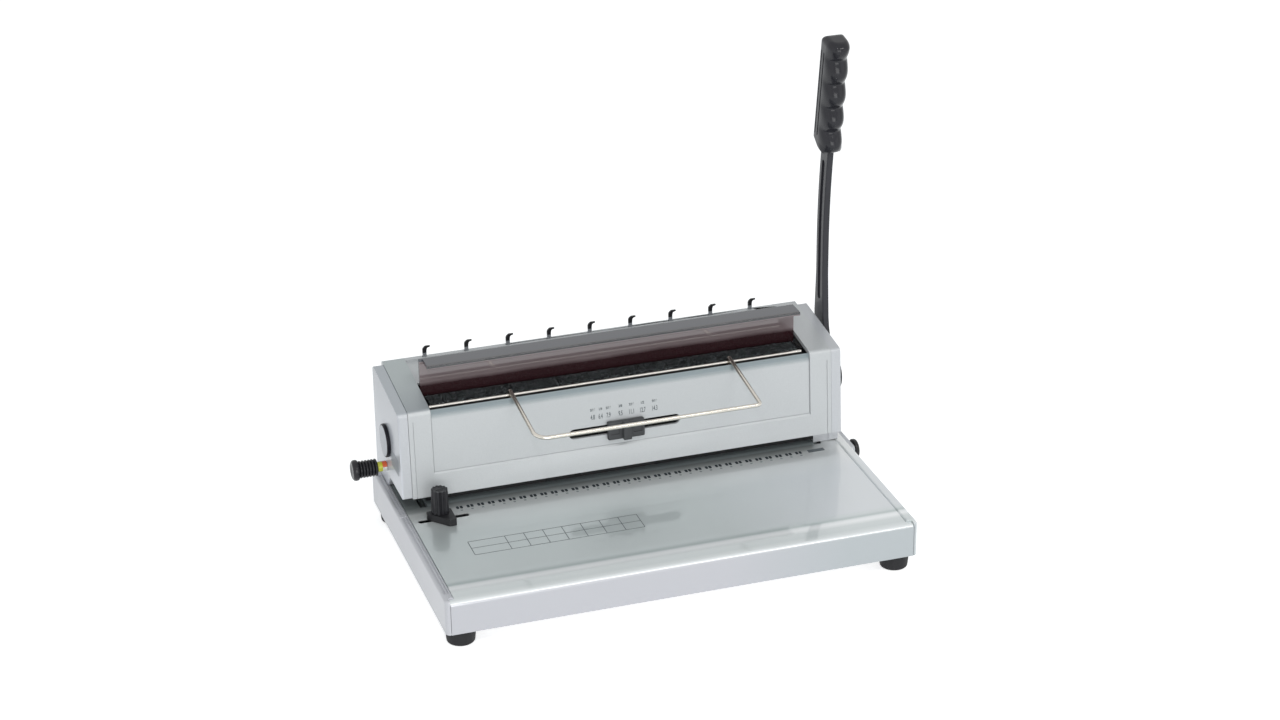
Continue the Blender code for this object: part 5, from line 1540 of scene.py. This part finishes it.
def makeDepthKnob():
    length = depth["knobEnd"] - depth["knobStart"]
    total = depth["flangeEnd"] - depth["knobStart"]
    bore, boreDepth, flange = depth["bore"], depth["boreDepth"], depth["flangeRadius"]
    waist = depth["knobRadius"] - depth["ribDepth"]
    profile = [(0, boreDepth), (bore, boreDepth), (bore, 0)]
    count = depth["ribs"] * 8
    for i in range(count):
        bump = math.sin(math.pi * (i % 8) / 8) ** 0.6
        profile.append((waist + depth["ribDepth"] * bump, length * i / count))
    profile.append((waist, length))
    profile += [(flange + out, length + (total - length) * share) for out, share in depth["flangeRim"]]
    profile += [(flange * share, total - inset) for share, inset in depth["flangeFace"]]
    knob = turned("margin_knob", profile, onDepthRod(-depth["knobStart"]), (-1, 0, 0), 48)
    fit(knob, "depth_control", knobPlastic, "black_plastic", "depth_knob", angle=50)


def makeDepthDial():
    place = onDepthRod(-depth["dialStart"])
    length = depth["dialEnd"] - depth["dialStart"]
    radius, bore, soft = depth["dialRadius"], depth["bore"], depth["dialSoft"]
    start, floor, end = (length * share for share in depth["dialGroove"])
    profile = [
        (bore, 0), (radius - soft, 0), (radius, soft), (radius, start), (radius - soft, floor),
        (radius, end), (radius, length - soft), (radius - soft, length), (bore, length), (bore, 0),
    ]
    dial = turned("margin_dial", profile, place, (-1, 0, 0), 48)
    fit(dial, "depth_control", dialFinish(place, length), "dial", "depth_dial", angle=50)


def dialFinish(place, length):
    # bright patches round the collar, in two rings
    finish = Finish("dialPaint")
    spot, (x, y, z) = finish.objectPlace()
    inner = x.over(place.x - length / 2)
    rear = y.over(place.y + depth["patchRear"])
    nearKnob = finish.mix(z.over(place.z + depth["patchNearKnob"]), depth["blue"], depth["lime"])
    nearCap = finish.mix(z.over(place.z + depth["patchNearCap"]), depth["white"], depth["red"])
    shade = finish.mix(inner, nearKnob, nearCap)
    shade = finish.mix(rear, shade, finish.mix(inner, depth["white"], depth["blue"]))
    rubbed = finish.grain(500, 3, spot=spot)
    shade = finish.mix(rubbed * 0.12, shade, depth["worn"])
    finish.set(colour=shade, roughness=0.30 + rubbed * 0.12, coat=0.2)
    return finish.bump(rubbed, 0.05, 0.00004)


makeDepthKnob()
makeDepthDial()
print("depth control ready")

# Pull handle

arm = {
    "inner": 0.1850,
    "outer": 0.1902,
    "half": 0.0075,
    "rootHalf": 0.0112,
    "rootStart": 0.027,
    "rootEnd": 0.080,
    "bow": 0.0202,
    "bowHeight": 0.045,
    "bendStart": 0.100,
    "height": 0.235,
    "tang": 0.045,
    "lean": math.radians(9.5),
    "edge": 0.0010,
    "grooveHalf": 0.0028,
    "grooveDepth": 0.0013,
    "grooveStart": 0.060,
    "grooveEnd": 0.176,
    "hubInner": 0.1815,
    "hubOuter": 0.1930,
    "hubRadius": 0.0148,
    "hubWall": 0.0030,
    "hubEdge": 0.0016,
    "dishMargin": 0.0035,
    "dishDepth": 0.0007,
    "shaftRadius": 0.0070,
    "screwRadius": 0.0025,
    "screwHead": 0.0060,
    "screwRise": 0.0028,
    # shares of the head's radius and rise, from the socket's floor outwards
    "screwProfile": ((0, 0.55), (0.42, 0.55), (0.46, 1), (0.8, 1), (0.95, 0.75), (1, 0.4), (1, 0)),
}
grip = {
    "length": 0.0963,
    "half": 0.0093,
    "back": 0.0110,
    "front": 0.0095,
    "bump": 0.0058,
    "fade": 0.4,
    "lobes": 5,
    "topShare": 0.36,  # how much of the top lobe the grip's end cuts off
    "lobeShift": 0.03,
    "waist": 0.17,
    "crown": 0.0060,
    "footRound": 0.0030,
    "endBack": 1.3,  # the ends round off more at the back and less at the sides
    "endSide": 0.8,
    "heel": (0.0065, 0.0150),  # height and depth
    "sides": 64,
    "steps": 130,
    "evenSteps": 0.65,  # the rest of the rings gather at both ends
    "rearPower": 0.24,  # small is square, 1 is round
    "frontPower": 0.9,
    "valley": 0.16,  # how soft the waists are
    "grooveDepth": 0.0009,
    "grooveHalf": 0.0008,
    "grooves": (0.0069, 0.0020),
    "grooveLow": 0.011,
    "grooveHigh": 0.084,
}


def armSpine(steps=32):
    # the arm's middle line from the hub: back, then straight up, then leaning to the user
    points = []
    straight = arm["height"] - arm["tang"]
    slope = math.tan(arm["lean"])
    for i in range(steps + 1):
        z = arm["height"] * i / steps
        bow = arm["bow"] * math.sin(math.pi / 2 * min(1, z / arm["bowHeight"]))
        bent = min(max(0, z - arm["bendStart"]), straight - arm["bendStart"])
        bend = slope * bent * bent / (2 * (straight - arm["bendStart"]))
        fall = slope * max(0, z - straight)
        points.append((shaftLine + bow - bend - fall, shaftLevel + z))
    return points


def armAt(height):
    # the middle line's Y at a height over the shaft
    spine = armSpine()
    place = height / arm["height"] * (len(spine) - 1)
    i = min(int(place), len(spine) - 2)
    return spine[i][0] + (spine[i + 1][0] - spine[i][0]) * (place - i)


def makeArm():
    front, rear = [], []
    for y, z in armSpine()[1:]:
        near = (arm["rootEnd"] - (z - shaftLevel)) / (arm["rootEnd"] - arm["rootStart"])
        half = arm["half"] + (arm["rootHalf"] - arm["half"]) * min(1, max(0, near))
        front.append((y - half, z))
        rear.append((y + half, z))
    corners = [(shaftLine - arm["half"], shaftLevel)] + front + rear[::-1]
    corners.append((shaftLine + arm["half"], shaftLevel))
    inner, outer = arm["inner"], arm["outer"]
    lever = outlined("handle_lever", corners, outer - inner, sideTurn, at((outer + inner) / 2, 0, 0))
    softenEdges(lever, arm["edge"], 3, 60)
    line = grooveLine()
    cutAway(lever, *(
        outlined("groove", line, 2 * arm["grooveDepth"], sideTurn, at(x, 0, 0)) for x in (inner, outer)
    ))
    inner, outer = arm["hubInner"], arm["hubOuter"]
    hub = addRod("hub", onShaft(inner), onShaft(outer), arm["hubRadius"], 64)
    softenEdges(hub, arm["hubEdge"], 4, 60)
    pick(hub, "FACE", lambda face: face.normal.x > 0.99)
    bpy.ops.mesh.inset(thickness=arm["dishMargin"])
    bpy.ops.transform.translate(value=(-arm["dishDepth"], 0, 0))
    takeUp(hub)
    joinOn(lever, hub)
    inside, shaft = onShaft(outer - arm["hubWall"]), arm["shaftRadius"] + seam
    bore = addRod("bore", onShaft(inner - past), inside, shaft)
    hole = addRod("hole", onShaft(inner), onShaft(outer + past), arm["screwRadius"] + seam, 20)
    cutAway(lever, bore, hole)
    fit(lever, "handle", armPaint, "black_painted_steel", "handle_arm", angle=40)


def grooveLine(steps=20):
    # the round-ended groove along the arm's middle line
    low, high, half = arm["grooveStart"], arm["grooveEnd"], arm["grooveHalf"]
    heights = [low + (high - low) * i / steps for i in range(steps + 1)]
    sides = [[(armAt(z) + out, shaftLevel + z) for z in heights] for out in (-half, half)]
    ends = []
    for z, reach in ((high, half), (low, -half)):
        y, turns = armAt(z), [math.pi * i / 8 for i in range(1, 8)]
        ends.append([(y - reach * math.cos(t), shaftLevel + z + reach * math.sin(t)) for t in turns])
    return sides[0] + ends[0] + sides[1][::-1] + ends[1]


def gripWave(height):
    # 1 on a finger lobe, 0 in a waist
    pitch = grip["length"] / (grip["lobes"] - grip["topShare"])
    swing = math.cos(math.pi * (height / pitch - grip["topShare"] - grip["lobeShift"]))
    soft = grip["valley"]
    return (math.hypot(swing, soft) - soft) / (math.hypot(1, soft) - soft)


def gripRing(height):
    # one rounded section of the grip, wider and further forward on a finger lobe
    length, back = grip["length"], grip["back"]
    heel, cutBack = grip["heel"]
    wave = gripWave(height)
    front = grip["front"] + grip["bump"] * (1 - grip["fade"] * height / length) * wave
    if height < heel:
        back -= cutBack * (1 - height / heel)
    half = grip["half"]
    for end, reach in ((height, grip["footRound"]), (length - height, grip["crown"])):
        if end < reach:
            inset = reach * (1 - math.sqrt(1 - (1 - end / reach) ** 2))
            front -= inset
            back -= inset * grip["endBack"]
            half -= inset * grip["endSide"]
    middle = (back - grip["front"]) / 2
    points = []
    for i in range(grip["sides"]):
        turn = math.tau * (i + 0.5) / grip["sides"]
        across, along = math.sin(turn), math.cos(turn)
        power = grip["rearPower"] if along > 0 else grip["frontPower"]
        reach = back - middle if along > 0 else front + middle
        u = middle + math.copysign(abs(along) ** power, along) * reach
        nearFront = min(1, max(0, -along))
        waist = 1 - grip["waist"] * (1 - wave) * nearFront
        w = math.copysign(abs(across) ** power, across) * half * waist
        points.append((u, height, w))
    return points


def makeGrip():
    lean, half = arm["lean"], grip["half"]
    footLevel = shaftLevel + arm["height"] - arm["tang"]
    footLine = armSpine()[-1][0] + math.tan(lean) * arm["tang"]
    foot = at((arm["inner"] + arm["outer"]) / 2, footLine, footLevel)
    toPlace = Matrix.Translation(foot) @ Matrix.Rotation(lean, 4, "X") @ sideTurn
    shape = bmesh.new()
    rings = []
    for i in range(grip["steps"] + 1):
        step = i / grip["steps"]
        gathered = 0.5 - 0.5 * math.cos(math.pi * step)
        share = (1 - grip["evenSteps"]) * gathered + grip["evenSteps"] * step
        rings.append([shape.verts.new(point) for point in gripRing(grip["length"] * share)])
    for low, high in zip(rings, rings[1:]):
        for i in range(grip["sides"]):
            j = (i + 1) % grip["sides"]
            shape.faces.new((low[i], low[j], high[j], high[i]))
    shape.faces.new(rings[0])
    shape.faces.new(rings[-1])
    handle = faceOutwards(modelled("handle_moulding", shape))
    tools = []
    for side in (-1, 1):
        for near in grip["grooves"]:
            wide, floor = grip["grooveHalf"], side * (half - grip["grooveDepth"])
            low = Vector((near - wide, grip["grooveLow"], floor))
            high = Vector((near + wide, grip["grooveHigh"], side * (half + past)))
            tools.append(addBlock("groove", low, high))
            roundEdges(tools[-1], lambda edge: runsAlong(edge, 2), wide * 0.9, 4)
    for piece in (handle, *tools):
        piece.matrix_world = toPlace
        setDown(piece)
    cutAway(handle, *tools)
    fit(handle, "handle", gripPlastic, "grip_plastic", "handle_grip", angle=45)


def makeHubScrew():
    head, rise, stem = arm["screwHead"], arm["screwRise"], arm["screwRadius"]
    profile = [(head * out, rise * up) for out, up in arm["screwProfile"]]
    profile += [(stem, 0), (stem, -arm["hubWall"] * 2), (0, -arm["hubWall"] * 2)]
    screw = turned("hub_screw", profile, onShaft(arm["hubOuter"] + seam), (1, 0, 0), 40)
    fit(screw, "handle", darkSteel, "steel", "handle_hub_screw")


makeArm()
makeGrip()
makeHubScrew()
print("handle ready")

# Feet and chip drawer

feet = {
    "x": 0.1720,
    "front": 0.0140,
    "rear": 0.2140,
    "top": 0.0127,
    "radius": 0.0122,
    "treadFlat": 0.00916,
    "round": 0.0016,
    "rim": (0.0004, 0.0009, 0.0006),  # inset, inset at the top, and height of the upper edge
    "well": 0.0045,
    "wellDepth": 0.0060,
    "neck": 0.0045,
    "neckTop": 0.0137,
    "bore": 0.0021,
}


def makeFeet():
    radius, corner, start = feet["radius"], feet["round"], feet["treadFlat"]
    top, neckTop, floor = feet["top"], feet["neckTop"], feet["wellDepth"]
    inset, topInset, edge = feet["rim"]
    profile = [(feet["bore"], floor), (feet["well"], floor), (feet["well"], 0), (start, 0)]
    profile += [(start + corner * out, corner * (1 - up)) for out, up in quarter(5, 1)]
    profile += [
        (radius - inset, top - edge), (radius - topInset, top), (feet["neck"], top),
        (feet["neck"], neckTop), (feet["bore"], neckTop), (feet["bore"], floor),
    ]
    foot = turned("rubber_foot", profile, at(-feet["x"], feet["front"], 0), (0, 0, 1), 44)
    across, back = 2 * feet["x"], feet["rear"] - feet["front"]
    moves = ((across, 0, 0), (0, back, 0), (across, back, 0))
    four = (foot, *(copyOf(foot, "rubber_foot", move) for move in moves))
    for piece, corner in zip(four, ("front_left", "front_right", "rear_left", "rear_right")):
        fit(piece, "machine", rubber, "rubber", "foot_" + corner)


drawer = {
    "wall": 0.0018,
    "trayFront": 0.1468,
    "trayRear": 0.1852,
    "trayLow": 0.0165,
    "trayHigh": 0.0345,
    "trayRound": 0.002,
    "panelInner": 0.1863,
    "panelOuter": 0.1898,
    "panelFront": 0.1385,
    "panelRear": 0.1925,
    "panelLow": 0.0145,
    "panelHigh": 0.0390,
    "panelRound": 0.0030,
    "panelEdge": 0.0009,
    "knobX": 0.1901,
    "knobY": 0.1530,
    "knobLevel": 0.0295,
    "knobRadius": 0.0082,
    "knobLength": 0.0072,
    "knobNeck": 0.0050,
    "knobFace": ((0, 0.0004), (0.62, 0.0002)),  # share of radius, depth
    "knobCrown": (0.28, 0.3),  # shares of radius and length
    "knobFoot": ((1, 0.5), (0.94, 0.42)),
    "neckEnds": (0.3, 0.06),
    "neckFlare": 0.0008,
}


def makeDrawer():
    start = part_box("chip_drawer")[0].x
    end, wall = middleX + drawer["panelInner"], drawer["wall"]
    front, rear = frontY + drawer["trayFront"], frontY + drawer["trayRear"]
    low, high = drawer["trayLow"], drawer["trayHigh"]
    tray = addBlock("drawer_tray", Vector((start, front, low)), Vector((end + tiny, rear, high)))
    roundEdges(
        tray, lambda edge: runsAlong(edge, 2) and centre(edge).x < start + tiny, drawer["trayRound"], 3,
    )
    hollow = addBlock(
        "hollow", Vector((start + wall, front + wall, low + wall)),
        Vector((end - wall, rear - wall, high + past)),
    )
    cutAway(tray, hollow)
    sides = (drawer["panel" + side] for side in ("Front", "Low", "Rear", "High", "Round"))
    thickness = drawer["panelOuter"] - drawer["panelInner"]
    place = at(drawer["panelInner"] + thickness / 2, 0, 0)
    panel = outlined("panel", rectangle(*sides), thickness, sideTurn, place)
    softenEdges(panel, drawer["panelEdge"], 3, 50)
    joinOn(tray, panel)
    fit(tray, "drawer", drawerPaint, "silver_plastic", "chip_drawer")


def makeDrawerKnob():
    radius, length, neck = drawer["knobRadius"], drawer["knobLength"], drawer["knobNeck"]
    crownOut, crownUp = drawer["knobCrown"]
    profile = [(radius * out, length - sunk) for out, sunk in drawer["knobFace"]]
    for out, up in quarter(8):
        profile.append((radius * (1 - crownOut + crownOut * out), length * (1 - crownUp + crownUp * up)))
    profile += [(radius * out, length * up) for out, up in drawer["knobFoot"]]
    profile += [(neck, length * up) for up in drawer["neckEnds"]]
    profile += [(neck + drawer["neckFlare"], 0), (0, 0)]
    place = at(drawer["knobX"], drawer["knobY"], drawer["knobLevel"])
    knob = turned("drawer_pull", profile, place, (1, 0, 0), 48)
    fit(knob, "drawer", knobPlastic, "black_plastic", "chip_drawer_knob")


makeFeet()
makeDrawer()
makeDrawerKnob()
print("feet and drawer ready")

# Pieces kept from the CAD part, with finishes of their own

bedPlastic = plasticFinish("bedPlastic", (0.012, 0.012, 0.014), 0.3, 1300, 0.12)
dieSteel = paintedFinish("dieSteel", (0.28, 0.32, 0.33), 0.04, 0.5, 0.0)
kept = (
    (plainSteel, "base_pan left_closer_slide right_closer_slide"),
    (rodSteel, "rear_tie_bar drive_shaft left_guide_post right_guide_post depth_rod"),
    (springSteel, "left_ram_spring right_ram_spring handle_return_spring"),
    (zinc, "foot_screw_front_left foot_screw_front_right foot_screw_rear_left foot_screw_rear_right"),
    (zinc, "left_ram_cam right_ram_cam left_closer_cam right_closer_cam left_depth_cam right_depth_cam"),
    (zinc, "punch_ram"),
    (bronze, "left_shaft_bush right_shaft_bush"),
    (bedPlastic, "closer_bed"),
    (dieSteel, "die_plate"),
    (frameShadePaint, "left_side_frame right_side_frame"),
    (darkSteel, "depth_gauge selector_stop edge_guide_clamp punch_guide"),
)
for finish, nodes in kept:
    for node in nodes.split():
        piece = bpy.data.objects[node]
        piece.data.materials.clear()
        piece.data.materials.append(finish)
print("kept pieces finished")

# Floor, light and camera

studio = {
    "worldLight": 0.47,
    "worldTint": (0.94, 0.985, 1.0),
    "floorTone": (0.90, 0.905, 0.91),
    "floorGlow": 0.62,
    "target": (0, 0, 0.08),
}
lamps = {
    # place, width and height, power and tint
    "key": ((-0.45, -2.00, 0.42), (1.5, 1.2), 18.0, (1.0, 1.0, 0.995)),
    "spark": ((-0.75, -1.30, 1.75), (0.12, 0.10), 4.0, (1.0, 0.99, 0.98)),
    "strip": ((0.62, -1.35, 1.70), (1.1, 0.22), 7.0, (1.0, 0.995, 0.975)),
    "side": ((-1.60, -0.30, 0.60), (1.2, 1.0), 0.8, (0.97, 0.98, 1.0)),
    "fill": ((1.30, -1.20, 0.60), (1.2, 1.0), 1.8, (0.98, 0.99, 1.0)),
}
rayNames = ("Is Camera Ray", "Is Glossy Ray", "Is Transmission Ray")  # these see plain white


def makeFloor():
    takeUp()
    bpy.ops.mesh.primitive_plane_add(size=9, location=(0, 0, -0.0002))
    floor = bpy.context.object
    floor.name = "studio_floor"
    finish = Finish("studioFloor")
    finish.set(colour=(*studio["floorTone"], 1), roughness=0.9, shine=0.0)
    plain = Value(finish, finish.shader.outputs[0])
    rays = finish.add("ShaderNodeLightPath").socket.node.outputs
    seen, mirrored, passed = (Value(finish, rays[name]) for name in rayNames)
    sockets = {"Color": (1, 1, 1, 1), "Strength": studio["floorGlow"]}
    glow = finish.add("ShaderNodeEmission", None, sockets)
    lit = finish.add("ShaderNodeAddShader", None, {0: glow, 1: plain})
    shown = seen.most(mirrored).most(passed)
    mixed = finish.add("ShaderNodeMixShader", None, {0: shown, 1: plain, 2: lit})
    finish.tree.links.new(mixed.socket, finish.tree.nodes["Material Output"].inputs["Surface"])
    floor.data.materials.append(finish.material)


def makeWorld():
    world = bpy.data.worlds.new("studio")
    bpy.context.scene.world = world
    world.use_nodes = True
    nodes, link = world.node_tree.nodes, world.node_tree.links.new
    light = nodes["Background"]
    light.inputs["Strength"].default_value = studio["worldLight"]
    light.inputs["Color"].default_value = (*studio["worldTint"], 1)
    white = nodes.new("ShaderNodeBackground")
    white.inputs["Color"].default_value = (1, 1, 1, 1)
    rays = nodes.new("ShaderNodeLightPath")
    either, anyRay = nodes.new("ShaderNodeMath"), nodes.new("ShaderNodeMath")
    either.operation = anyRay.operation = "MAXIMUM"
    pickOne = nodes.new("ShaderNodeMixShader")
    link(rays.outputs[rayNames[0]], either.inputs[0])
    link(rays.outputs[rayNames[1]], either.inputs[1])
    link(either.outputs[0], anyRay.inputs[0])
    link(rays.outputs[rayNames[2]], anyRay.inputs[1])
    for socket, source in zip(pickOne.inputs, (anyRay, light, white)):
        link(source.outputs[0], socket)
    link(pickOne.outputs[0], nodes["World Output"].inputs["Surface"])


def makeLights():
    target = Vector(studio["target"])
    for name, (spot, size, power, tint) in lamps.items():
        lamp = bpy.data.lights.new(name, "AREA")
        lamp.shape = "RECTANGLE"
        lamp.size, lamp.size_y = size
        lamp.energy = power
        lamp.color = tint
        holder = placed(name, lamp)
        holder.location = spot
        holder.rotation_euler = (target - Vector(spot)).to_track_quat("-Z", "Y").to_euler()


view = {
    "place": (-0.63305, -1.96503, 1.12176),
    "azimuth": 18.00,  # towards +X from straight ahead
    "down": 25.08,
    "roll": -0.66,
    "lens": 84.38,
}


def makeCamera():
    azimuth, down, roll = (math.radians(view[key]) for key in ("azimuth", "down", "roll"))
    level = math.cos(down)
    ahead = Vector((math.sin(azimuth) * level, math.cos(azimuth) * level, -math.sin(down)))
    right = Vector((math.cos(azimuth), -math.sin(azimuth), 0))
    up = right.cross(ahead)
    rolledRight = math.cos(roll) * right + math.sin(roll) * up
    rolledUp = math.cos(roll) * up - math.sin(roll) * right
    turn = Matrix((rolledRight, rolledUp, -ahead)).transposed().to_4x4()
    lens = bpy.data.cameras.new("camera")
    lens.lens = view["lens"]
    lens.sensor_width = 36
    lens.clip_end = 20
    camera = placed("camera", lens)
    camera.matrix_world = Matrix.Translation(view["place"]) @ turn
    bpy.context.scene.camera = camera


makeFloor()
makeWorld()
makeLights()
makeCamera()
bpy.context.scene.view_settings.view_transform = "Standard"

takeUp()
